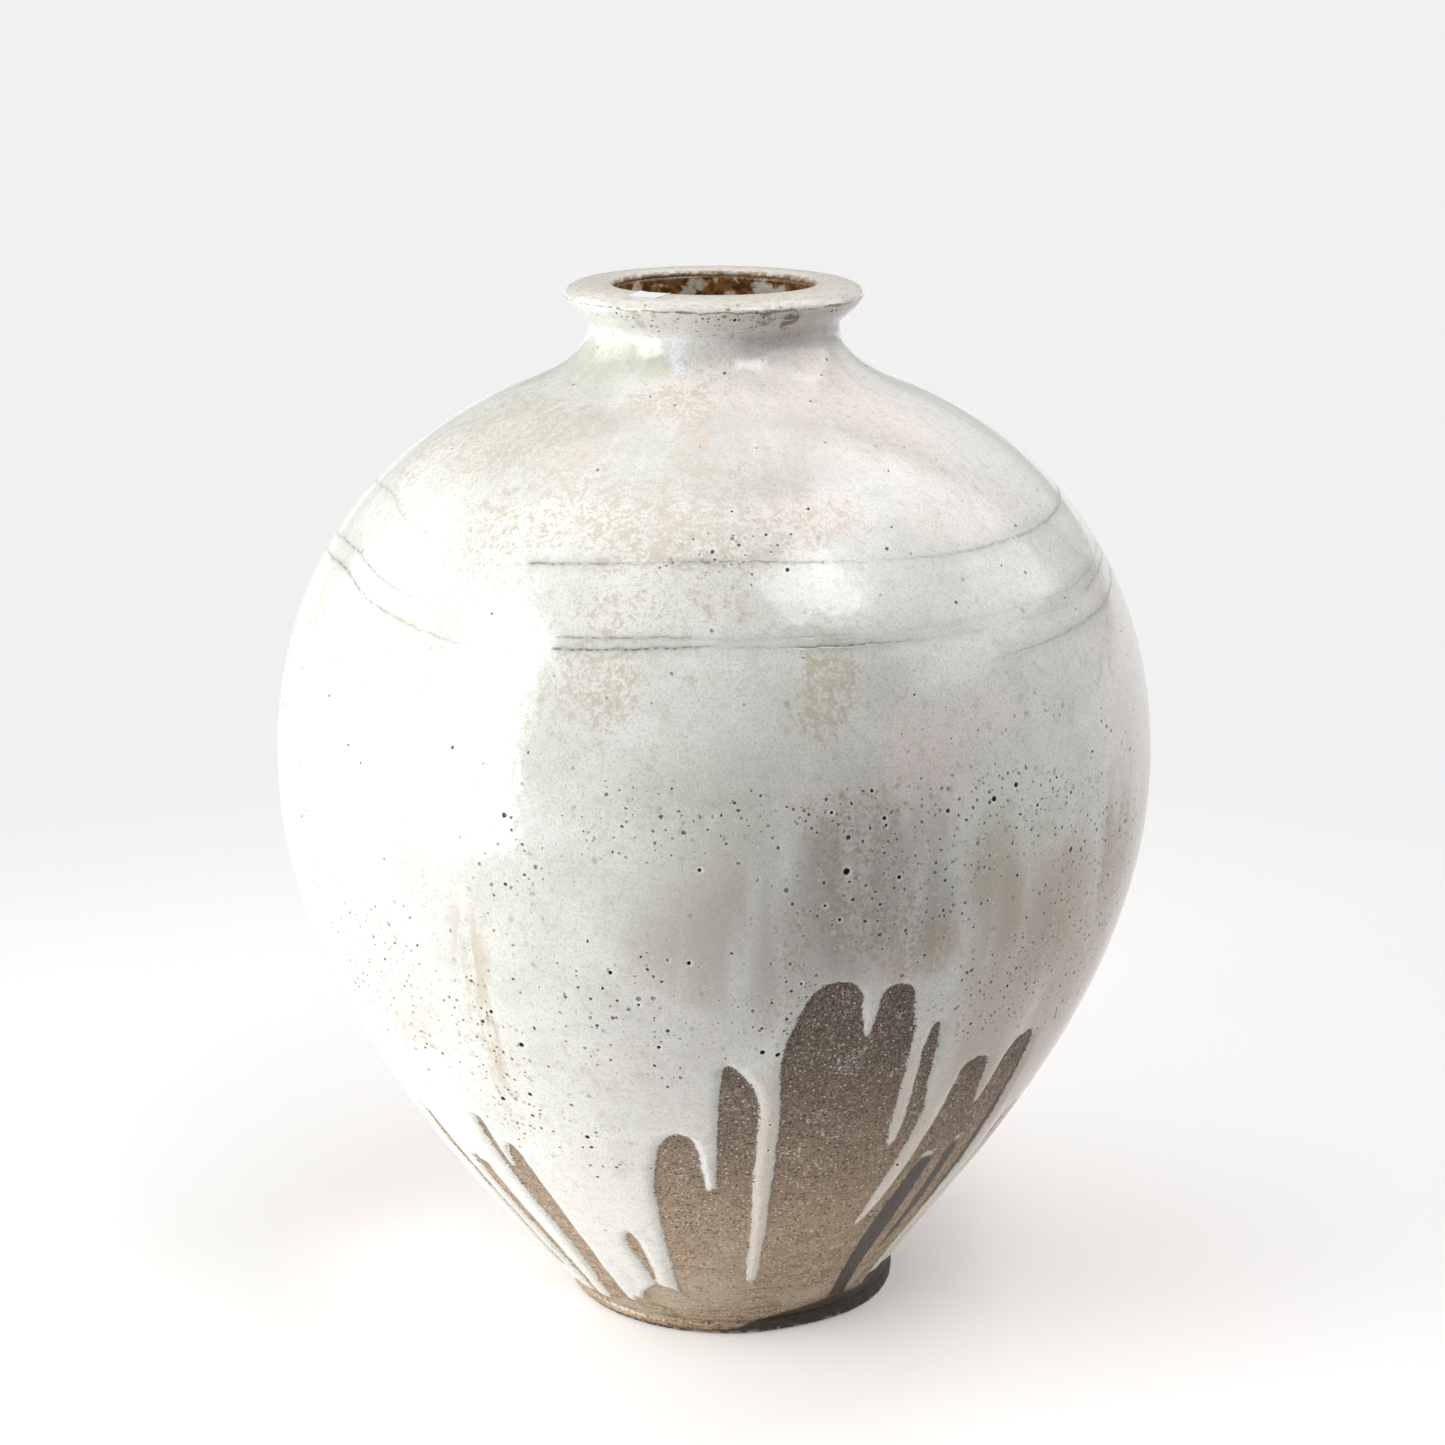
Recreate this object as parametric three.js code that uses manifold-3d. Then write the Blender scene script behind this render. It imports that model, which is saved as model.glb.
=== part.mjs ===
// A round-bellied stoneware jar with a narrow neck and a broad turned-out rim.
// It is built as such jars are: a base slab, a lower wall, an upper wall and a neck, each made by itself,
// rebated, and luted to the next with slip. A white glaze was poured over the outside and ran in the fire, so it
// ends above the foot in bare fingers of clay and hanging runs. A dark glaze lines the inside.
// Millimetres, +Z up, origin under the belly's axis on the plane that the jar stands on.
// A bearing is an angle round the jar in degrees: 0 is the front (-Y), 90 is the right-hand side (+X).

import * as THREE from "three";
import { mergeVertices } from "three/addons/utils/BufferGeometryUtils.js";
import Module from "manifold-3d";

// Heights of the clay's outline, each counted from the one below it
const footHeight = 6; // upright edge of the base slab
const wallRise = 214; // top of the foot to the widest ring of the belly
const shoulderRise = 135.7; // widest ring to the root of the neck
const neckRise = 29; // root of the neck to its waist
const flareRise = 10.5; // waist to the arris of the rim
const crownRise = 3.5; // arris to the crest of the rim

// Radii of the clay's outline
const footRadius = 63.5;
const bellyRadius = 166.7;
const rootRadius = 82;
const waistRadius = 45.5;
const rimRadius = 54.8;
const crestRadius = 43.2;
const mouthRadius = 38.4;

// How the outline leaves one ring and reaches the next: directions above the horizon, and lengths of the pull
const wallLean = 54.4; // degrees
const wallPull = 60;
const bellyPullBelow = 90;
const bellyPullAbove = 41;
const shoulderSlope = 25.2; // degrees
const shoulderPull = 76.5;
const rootPull = 10.8;
const waistPull = 17.3;
const flarePull = 3;
const flareLean = 58; // degrees, where the flare meets the arris
const arrisPullBelow = 6;
const rimSlope = 72; // degrees, where the rim's top leaves the arris
const arrisPullAbove = 2.8;
const crestPull = 6.2;
const lipPull = 1;
const lipDrop = 1.4; // crest to the top of the bore

// Clay thickness
const footBevel = 1.5;
const baseThickness = 13;
const footWall = 11;
const bellyWall = 8;
const shoulderWall = 8.5;
const boreDepth = 24; // straight bore below the lip

// Joints between the clay pieces
const lap = 6; // height of a rebate
const slipGap = 0.3; // slip between two pieces

// Glazes, and the fired line between glaze and clay
const glazeThickness = 1;
const linerThickness = 0.7;
const glazeGap = 0.3;
const glazeLine = 13; // lowest glaze above the table
const endRoundness = 1.4; // length of a finger's or a run's round end, in half-widths
const overrun = 6; // how far a cut runs past the glaze that it ends beyond

// Thrown off-centre: the foot stands to the right of the belly's axis
const footOffset = 5;
const footBlend = 25; // height over which the offset dies away

// Paper label on the rim, blank
const labelLength = 12.5;
const labelDepth = 9;
const labelThickness = 0.2;
const labelGap = 0.3;
const labelBearing = -30;
const labelOffset = 2.8; // its middle, outside the crest

// Fingers of clay that the glaze left bare, from the table up: bearing, spread in degrees, top
const bareFingers = [
  { bearing: -5.2, spread: 10.8, top: 117 },
  { bearing: 3.8, spread: 8, top: 148 },
  { bearing: 14, spread: 12, top: 181 },
  { bearing: 23.6, spread: 8, top: 178 },
  { bearing: 30, spread: 5, top: 158 },
  { bearing: 38.4, spread: 12, top: 137 },
  { bearing: 49, spread: 10, top: 141 },
  { bearing: 62, spread: 5, top: 96 },
  { bearing: 78, spread: 8, top: 70 },
  { bearing: 95, spread: 9, top: 118 },
  { bearing: 107, spread: 6, top: 84 },
  { bearing: 128, spread: 7, top: 62 },
  { bearing: 150, spread: 10, top: 104 },
  { bearing: 161, spread: 5, top: 132 },
  { bearing: 178, spread: 6, top: 74 },
  { bearing: 203, spread: 8, top: 96 },
  { bearing: 214, spread: 5, top: 58 },
  { bearing: 236, spread: 9, top: 112 },
  { bearing: 247, spread: 5, top: 88 },
  { bearing: 273, spread: 5, top: 52 },
  { bearing: 282, spread: 5, top: 78 },
  { bearing: -55, spread: 4, top: 99 },
  { bearing: -47, spread: 5, top: 84 },
  { bearing: -39.4, spread: 2.4, top: 110 },
  { bearing: -35, spread: 6, top: 99 },
  { bearing: -17.5, spread: 3, top: 61 },
];

// Runs of glaze that hang down between or across the fingers: bearing, spread in degrees, lowest point
const glazeRuns = [
  { bearing: -0.7, spread: 2.6, end: 88 },
  { bearing: 8, spread: 3.2, end: 33 },
  { bearing: 20, spread: 1.6, end: 157 },
  { bearing: 27.8, spread: 2.4, end: 104 },
  { bearing: 32.6, spread: 3, end: 60 },
  { bearing: 44.2, spread: 2.2, end: 112 },
];

// Fineness of the faceted solids
const segments = 48;
const bodySteps = 6;
const neckSteps = 4;
const rimSteps = 3;
const arcSteps = 4;

// Colours
const clayBrown = 0x7a6452;
const glazeWhite = 0xe4e5df;
const linerBrown = 0x4a3522;
const paperWhite = 0xf4f4f6;

// Levels that the pieces share
const bellyHeight = footHeight + wallRise;
const rootHeight = bellyHeight + shoulderRise;
const waistHeight = rootHeight + neckRise;
const arrisHeight = waistHeight + flareRise;
const crestHeight = arrisHeight + crownRise;
const lipHeight = crestHeight - lipDrop;

const wasm = await Module();
wasm.setup();

// Outline helpers: an outline is a list of Vector2, x the radius and y the height

const point = (radius, height) => new THREE.Vector2(radius, height);

const along = (degrees, length) =>
  point(length, 0).rotateAround(point(0, 0), THREE.MathUtils.degToRad(degrees));

const bezier = (from, pullFrom, pullTo, to, steps) =>
  new THREE.CubicBezierCurve(from, pullFrom, pullTo, to).getPoints(steps);

// Joins curves that end where the next one starts.
const chain = (...curves) => curves.flatMap((curve, i) => (i ? curve.slice(1) : curve));

// The left-hand offset of an outline, or the right-hand one for a negative distance, which may vary by point.
function offset(outline, distance) {
  const distanceAt = typeof distance === "function" ? distance : () => distance;
  const normals = outline.slice(1).map((p, i) => {
    const step = p.clone().sub(outline[i]).normalize();
    return point(-step.y, step.x);
  });
  return outline.map((p, i) => {
    const before = normals[Math.max(i - 1, 0)];
    const after = normals[Math.min(i, normals.length - 1)];
    const mitre = before.clone().add(after).normalize();
    return p.clone().addScaledVector(mitre, distanceAt(p, i) / mitre.dot(after));
  });
}

// The radius of a rising outline at a height.
function radiusAt(outline, height) {
  const i = outline.findIndex((p, k) => k > 0 && p.y >= height);
  const [low, high] = [outline[i - 1], outline[i]];
  return THREE.MathUtils.mapLinear(height, low.y, high.y, low.x, high.x);
}

// The stretch of a rising outline between two heights.
function between(outline, low, high) {
  const inside = outline.filter((p) => p.y > low + 1e-6 && p.y < high - 1e-6);
  return [point(radiusAt(outline, low), low), ...inside, point(radiusAt(outline, high), high)];
}

// Outline of the clay, outside

const bodyOutside = chain(
  bezier(
    point(footRadius, footHeight),
    point(footRadius, footHeight).add(along(wallLean, wallPull)),
    point(bellyRadius, bellyHeight - bellyPullBelow),
    point(bellyRadius, bellyHeight),
    bodySteps,
  ),
  bezier(
    point(bellyRadius, bellyHeight),
    point(bellyRadius, bellyHeight + bellyPullAbove),
    point(rootRadius, rootHeight).add(along(-shoulderSlope, shoulderPull)),
    point(rootRadius, rootHeight),
    bodySteps,
  ),
);

const neckOutside = chain(
  bezier(
    point(rootRadius, rootHeight),
    point(rootRadius, rootHeight).add(along(180 - shoulderSlope, rootPull)),
    point(waistRadius, waistHeight - waistPull),
    point(waistRadius, waistHeight),
    neckSteps,
  ),
  bezier(
    point(waistRadius, waistHeight),
    point(waistRadius, waistHeight + flarePull),
    point(rimRadius, arrisHeight).sub(along(flareLean, arrisPullBelow)),
    point(rimRadius, arrisHeight),
    rimSteps,
  ),
);

const rimTop = chain(
  bezier(
    point(rimRadius, arrisHeight),
    point(rimRadius, arrisHeight).add(along(180 - rimSlope, arrisPullAbove)),
    point(crestRadius + crestPull, crestHeight),
    point(crestRadius, crestHeight),
    rimSteps,
  ),
  bezier(
    point(crestRadius, crestHeight),
    point(crestRadius - lipPull, crestHeight),
    point(mouthRadius, lipHeight + lipPull),
    point(mouthRadius, lipHeight),
    rimSteps,
  ),
);

// Outline of the clay, inside

const wallAt = (p) =>
  p.y < bellyHeight
    ? THREE.MathUtils.mapLinear(p.y, footHeight, bellyHeight, footWall, bellyWall)
    : THREE.MathUtils.mapLinear(p.y, bellyHeight, rootHeight, bellyWall, shoulderWall);

const bodyInside = offset(bodyOutside, wallAt);
const rootInside = bodyInside.at(-1);

const boreFoot = point(mouthRadius, lipHeight - boreDepth);
const neckInside = bezier(
  rootInside,
  rootInside.clone().add(along(180 - shoulderSlope, rootPull)),
  point(mouthRadius, boreFoot.y - waistPull),
  boreFoot,
  neckSteps,
);

const clayOutside = chain(bodyOutside, neckOutside);
const clayInside = chain(bodyInside, neckInside);

// Solids

// Turns a closed outline about Z, and sets the turned rings off-centre towards the foot.
function turned(outline) {
  const geometry = new THREE.LatheGeometry(outline, segments).rotateX(Math.PI / 2);
  const place = geometry.getAttribute("position");
  for (let i = 0; i < place.count; i++) {
    place.setX(i, place.getX(i) + footOffset * Math.exp(-place.getZ(i) / footBlend));
  }
  return geometry;
}

const closed = (outline) => [...outline, outline[0]];

function solidOf(geometry) {
  const bare = geometry.clone();
  bare.deleteAttribute("normal");
  bare.deleteAttribute("uv");
  const merged = mergeVertices(bare, 1e-4);
  const vertProperties = merged.getAttribute("position").array;
  const triVerts = new Uint32Array(merged.index.array);
  return new wasm.Manifold(new wasm.Mesh({ numProp: 3, vertProperties, triVerts }));
}

function geometryOf(solid) {
  const { vertProperties, triVerts } = solid.getMesh();
  const geometry = new THREE.BufferGeometry();
  geometry.setAttribute("position", new THREE.BufferAttribute(vertProperties, 3));
  geometry.setIndex(new THREE.BufferAttribute(triVerts, 1));
  return geometry;
}

// A rebate across the wall, from the outside in: a ledge, a step up and the top of the inner lip.
// The upper piece takes the same rebate lifted by the slip gap.
function rebate(level, gap) {
  const step = (radiusAt(clayOutside, level + lap) + radiusAt(clayInside, level)) / 2 + gap;
  const ledge = level + gap;
  const lipTop = level + lap + gap;
  return [
    point(radiusAt(clayOutside, ledge), ledge),
    point(step, ledge),
    point(step, lipTop),
    point(radiusAt(clayInside, lipTop), lipTop),
  ];
}

// A wall between two ends, each listed from the outside in.
function wall(bottom, top) {
  const outside = between(clayOutside, bottom[0].y, top[0].y);
  const inside = between(clayInside, bottom.at(-1).y, top.at(-1).y);
  return closed([...outside, ...top.slice(1, -1), ...inside.reverse(), ...bottom.slice(1, -1).reverse()]);
}

// The base slab's spigot fills the foot of the lower wall.
const spigotRadius = radiusAt(clayInside, baseThickness) - slipGap;

function baseSlab() {
  return turned([
    point(0, 0),
    point(footRadius - footBevel, 0),
    point(footRadius, footBevel),
    point(footRadius, footHeight),
    point(spigotRadius, footHeight),
    point(spigotRadius, baseThickness),
    point(0, baseThickness),
  ]);
}

function lowerWall() {
  const seat = footHeight + slipGap;
  const bottom = [
    point(radiusAt(clayOutside, seat), seat),
    point(spigotRadius + slipGap, seat),
    point(radiusAt(clayInside, baseThickness), baseThickness),
  ];
  return turned(wall(bottom, rebate(bellyHeight, 0)));
}

function upperWall() {
  return turned(wall(rebate(bellyHeight, slipGap), rebate(rootHeight, 0)));
}

function neckAndRim() {
  const bottom = rebate(rootHeight, slipGap);
  const outside = between(clayOutside, bottom[0].y, arrisHeight);
  const inside = between(clayInside, bottom.at(-1).y, boreFoot.y);
  return turned(
    closed([...outside, ...rimTop.slice(1), ...inside.reverse(), ...bottom.slice(1, -1).reverse()]),
  );
}

// A skin over the outside of an outline: its near face stands off by the gap.
function skin(outline, gap, thickness) {
  const near = offset(outline, -gap);
  const far = offset(outline, -gap - thickness);
  return closed([...far, ...near.reverse()]);
}

// A prism with radial sides, from inside the foot to outside the belly, on an outline of bearings and heights.
function radialPrism(outline) {
  const innerRadius = footRadius / 2;
  const depth = bellyRadius;
  const prism = new THREE.ExtrudeGeometry(outline, { depth, bevelEnabled: false, curveSegments: arcSteps });
  const place = prism.getAttribute("position");
  for (let i = 0; i < place.count; i++) {
    const bearing = THREE.MathUtils.degToRad(place.getX(i));
    const radius = innerRadius + place.getZ(i);
    place.setXYZ(i, radius * Math.sin(bearing), -radius * Math.cos(bearing), place.getY(i));
  }
  return solidOf(prism);
}

// Half the width of a spread at a height on the jar, which sets how round an end is.
const halfWidth = (spread, height) =>
  radiusAt(clayOutside, height) * THREE.MathUtils.degToRad(spread / 2);

// A finger reaches up from below the table and ends in a round top.
function fingerOutline({ bearing, spread, top }) {
  const rise = endRoundness * halfWidth(spread, top);
  const outline = new THREE.Shape();
  outline.moveTo(bearing - spread / 2, -overrun);
  outline.lineTo(bearing + spread / 2, -overrun);
  outline.absellipse(bearing, top - rise, spread / 2, rise, 0, Math.PI, false);
  outline.closePath();
  return outline;
}

// A run hangs from above the highest finger and ends in a round drop.
const highestFinger = Math.max(...bareFingers.map((finger) => finger.top));

function runOutline({ bearing, spread, end }) {
  const drop = endRoundness * halfWidth(spread, end);
  const outline = new THREE.Shape();
  outline.moveTo(bearing + spread / 2, highestFinger + overrun);
  outline.lineTo(bearing - spread / 2, highestFinger + overrun);
  outline.absellipse(bearing, end + drop, spread / 2, drop, Math.PI, 2 * Math.PI, false);
  outline.closePath();
  return outline;
}

const union = (solids) => solids.reduce((all, solid) => all.add(solid));

// The poured coat: a skin from the glaze line over the rim, less the bare fingers, with the runs kept.
function outerGlaze() {
  const outline = chain(between(clayOutside, glazeLine, arrisHeight), rimTop);
  const coat = solidOf(turned(skin(outline, glazeGap, glazeThickness)));
  const bare = union(bareFingers.map((finger) => radialPrism(fingerOutline(finger))));
  const runs = union(glazeRuns.map((run) => radialPrism(runOutline(run))));
  return geometryOf(coat.subtract(bare.subtract(runs)));
}

// The liner: a skin over the base, up the inside and the bore, short of the lip by the gap.
function innerGlaze() {
  const floor = point(0, baseThickness);
  const boreTop = point(mouthRadius, lipHeight - glazeGap);
  const outline = [floor, ...between(clayInside, baseThickness, boreFoot.y), boreTop];
  const near = offset(outline, glazeGap);
  const far = offset(outline, glazeGap + linerThickness);
  return turned([...near, ...far.reverse()]);
}

// The label: a patch of paper that follows the glazed top of the rim.
function rimLabel() {
  const standOff = glazeGap + glazeThickness + labelGap;
  const paper = solidOf(turned(skin(rimTop, standOff, labelThickness)));
  const bearing = THREE.MathUtils.degToRad(labelBearing);
  const centre = crestRadius + labelOffset;
  const patch = new THREE.BoxGeometry(labelLength, labelDepth, rimRadius).rotateZ(bearing);
  patch.translate(centre * Math.sin(bearing), -centre * Math.cos(bearing), crestHeight);
  return geometryOf(paper.intersect(solidOf(patch)));
}

// Assembly

function piece(name, geometry, color, roughness) {
  const material = new THREE.MeshStandardMaterial({ color, roughness, metalness: 0 });
  const mesh = new THREE.Mesh(geometry, material);
  mesh.name = name;
  return mesh;
}

const jar = new THREE.Group();
jar.add(
  piece("base_slab", baseSlab(), clayBrown, 0.85),
  piece("lower_wall", lowerWall(), clayBrown, 0.85),
  piece("upper_wall", upperWall(), clayBrown, 0.85),
  piece("neck_and_rim", neckAndRim(), clayBrown, 0.85),
  piece("outer_glaze", outerGlaze(), glazeWhite, 0.25),
  piece("inner_glaze", innerGlaze(), linerBrown, 0.3),
  piece("rim_label", rimLabel(), paperWhite, 0.7),
);

export default jar;
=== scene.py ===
# %% [markdown]
# # A run-glazed stoneware jar
# The real jar was thrown in sections, luted together with slip, lined with a dark glaze and then covered
# with a white feldspar glaze that ran in the fire. Under the glaze sit clay pieces that are already
# modelled to size. This script dresses them: it makes the fine surfaces of clay and glaze and their
# finishes, and sets the jar on a pale studio floor.

# %% Load the frame
import math

import bmesh
import bpy
import numpy as np
from mathutils import Matrix, Vector, noise
from mathutils.geometry import interpolate_bezier


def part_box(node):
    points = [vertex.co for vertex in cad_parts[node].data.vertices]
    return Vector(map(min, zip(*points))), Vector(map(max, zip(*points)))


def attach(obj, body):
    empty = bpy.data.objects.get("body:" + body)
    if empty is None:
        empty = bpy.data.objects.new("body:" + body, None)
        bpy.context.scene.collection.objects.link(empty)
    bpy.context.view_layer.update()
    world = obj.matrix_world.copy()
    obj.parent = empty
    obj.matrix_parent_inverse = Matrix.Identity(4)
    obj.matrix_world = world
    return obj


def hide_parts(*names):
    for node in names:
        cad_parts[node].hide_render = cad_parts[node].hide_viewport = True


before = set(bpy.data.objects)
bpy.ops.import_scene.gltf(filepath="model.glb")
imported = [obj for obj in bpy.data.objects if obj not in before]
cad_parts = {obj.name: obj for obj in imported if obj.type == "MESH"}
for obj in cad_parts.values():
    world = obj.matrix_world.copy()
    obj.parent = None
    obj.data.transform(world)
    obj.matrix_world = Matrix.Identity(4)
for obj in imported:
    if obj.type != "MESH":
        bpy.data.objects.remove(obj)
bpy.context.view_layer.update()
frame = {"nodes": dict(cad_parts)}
MM = 0.001
print("nodes:", ", ".join(frame["nodes"]))

# %% [markdown]
# ## The outline
# A jar that was turned on a wheel is one outline, spun about an axis. It could be drawn as a list of
# points, but six curves with a handle at each end say the same with fewer numbers, and stay smooth when the
# mesh gets finer. The largest sizes come from the frame, and the handles repeat those that shaped the clay
# there.

# %% Outline of the clay
wall_low, wall_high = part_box("lower_wall")
slab_low, slab_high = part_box("base_slab")
neck_low, neck_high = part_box("neck_and_rim")
SLIP = 0.3
foot_radius = (slab_high[1] - slab_low[1]) / 2 / MM
foot_height = wall_low[2] / MM - SLIP
base_top = slab_high[2] / MM
belly_radius = wall_high[0] / MM
belly_height = 220.0
root_height = neck_low[2] / MM - SLIP
crest_height = neck_high[2] / MM
root_radius, waist_radius, rim_radius, crest_radius, mouth_radius = 82.0, 45.5, 54.8, 43.2, 38.4
waist_height, arris_height, lip_height = 384.7, 395.2, 397.3
# Handles of the curves: which way they lean in degrees, and how far they pull in millimetres
FOOT_LEAN, SHOULDER_LEAN, NECK_LEAN, UNDER_RIM_LEAN, RIM_LEAN = 54.4, -25.2, 154.8, 238, 108
FOOT_PULL, BELLY_PULL_DOWN, BELLY_PULL_UP, SHOULDER_PULL = 60, 90, 41, 76.5
ROOT_PULL, WAIST_PULL_DOWN, WAIST_PULL_UP, UNDER_RIM_PULL = 10.8, 17.3, 3, 6
RIM_PULL, CREST_PULL_OUT, CREST_PULL_IN, MOUTH_PULL = 2.8, 6.2, 1, 1


def lean(radius, height, degrees, length):
    turn = math.radians(degrees)
    return (radius + length * math.cos(turn), height + length * math.sin(turn))


def bezier(knots, steps):
    curve = interpolate_bezier(*[Vector((r, 0, z)) for r, z in knots], steps)
    return [(p.x, p.z) for p in curve]


def lengths_along(path):
    """Distance of each point of a path from its start, along it."""
    return np.concatenate([[0], np.cumsum(np.hypot(*np.diff(path, axis=0).T))])


outline_curves = [
    [(foot_radius, foot_height), lean(foot_radius, foot_height, FOOT_LEAN, FOOT_PULL),
     (belly_radius, belly_height - BELLY_PULL_DOWN), (belly_radius, belly_height)],
    [(belly_radius, belly_height), (belly_radius, belly_height + BELLY_PULL_UP),
     lean(root_radius, root_height, SHOULDER_LEAN, SHOULDER_PULL), (root_radius, root_height)],
    [(root_radius, root_height), lean(root_radius, root_height, NECK_LEAN, ROOT_PULL),
     (waist_radius, waist_height - WAIST_PULL_DOWN), (waist_radius, waist_height)],
    [(waist_radius, waist_height), (waist_radius, waist_height + WAIST_PULL_UP),
     lean(rim_radius, arris_height, UNDER_RIM_LEAN, UNDER_RIM_PULL), (rim_radius, arris_height)],
    [(rim_radius, arris_height), lean(rim_radius, arris_height, RIM_LEAN, RIM_PULL),
     (crest_radius + CREST_PULL_OUT, crest_height), (crest_radius, crest_height)],
    [(crest_radius, crest_height), (crest_radius - CREST_PULL_IN, crest_height),
     (mouth_radius, lip_height + MOUTH_PULL), (mouth_radius, lip_height)],
]
CURVE_STEPS = 200
outline = [(foot_radius, foot_height)]
for knots in outline_curves:
    outline += bezier(knots, CURVE_STEPS)[1:]
outline = np.array(outline)
arc = lengths_along(outline)
tangent = np.gradient(outline, arc, axis=0)
tangent /= np.linalg.norm(tangent, axis=1)[:, None]
# Each curve adds one point less than its steps, so this is where the first, second, fourth and fifth end
arc_at_belly, arc_at_root, arc_at_arris, arc_at_crest = (
    arc[(CURVE_STEPS - 1) * curves] for curves in (1, 2, 4, 5)
)
print(f"outline: {len(outline)} points, {arc[-1]:.0f} mm from foot to lip")

# %% [markdown]
# Later steps ask for three things: the place at a distance along the outline, moved out by a thickness, the
# radius at a height, and the distance along the outline to a height on the lower wall.


# %% Places on the outline
def on_outline(along, stand_off=0.0):
    """Radius and height of points along the outline, moved out along its normal."""
    radius = np.interp(along, arc, outline[:, 0])
    height = np.interp(along, arc, outline[:, 1])
    normal_r = np.interp(along, arc, tangent[:, 1])
    normal_z = np.interp(along, arc, -tangent[:, 0])
    return radius + stand_off * normal_r, height + stand_off * normal_z


def radius_at(height):
    rising = arc <= arc_at_arris
    return np.interp(height, outline[rising, 1], outline[rising, 0])


def arc_at_height(height):
    return np.interp(height, outline[:CURVE_STEPS, 1], arc[:CURVE_STEPS])


print(f"radius 100 mm up: {radius_at(100.0):.1f} mm")

# %% [markdown]
# The foot of the real jar stands a little to the right of the belly's axis, as happens on the wheel. Every
# ring is shifted by the same rule, so that clay, glaze and liner stay together. Bearings are told in two
# ways: about the wheel's axis, for points as they were spun, and about the shifted axis, for points that
# stay where they are while the surface moves under them.

# %% Off-centre foot
FOOT_OFFSET = 5.0
FOOT_BLEND = 25.0


def place(bearing, radius, height):
    """Points in metres from bearings in degrees and sizes in millimetres; bearing 0 is the front."""
    turn = np.radians(bearing)
    shift = FOOT_OFFSET * np.exp(-np.maximum(height, 0) / FOOT_BLEND)
    return np.stack([radius * np.sin(turn) + shift, -radius * np.cos(turn), height], axis=-1) * MM


def bearing_of(points):
    """Bearings in degrees about the shifted axis."""
    shift = FOOT_OFFSET * MM * np.exp(-np.maximum(points[:, 2] / MM, 0) / FOOT_BLEND)
    return np.degrees(np.arctan2(points[:, 0] - shift, -points[:, 1]))


def spun_bearing(points):
    """Bearings in degrees about the wheel's axis."""
    return np.degrees(np.arctan2(points[:, 0], -points[:, 1]))


def spun_radius(points):
    return np.hypot(points[:, 0], points[:, 1]) / MM


def turn_from(middle, bearing):
    """Degrees from one bearing to another, the shorter way round."""
    return (bearing - middle + 180) % 360 - 180


print(f"foot: {FOOT_OFFSET} mm to the right of the belly's axis")

# %% [markdown]
# ## Where the glaze ran
# The white glaze stops above the foot in bare fingers of clay with runs of glaze between them. A painted
# picture of the edge could not be modelled, so each finger is described as a potter would sketch it on the
# unrolled jar: at a few heights, the bearing of its left and right edge, and how round its top is. Fingers
# that overlap make one bare patch, and what is left between them hangs down as a run.

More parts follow.
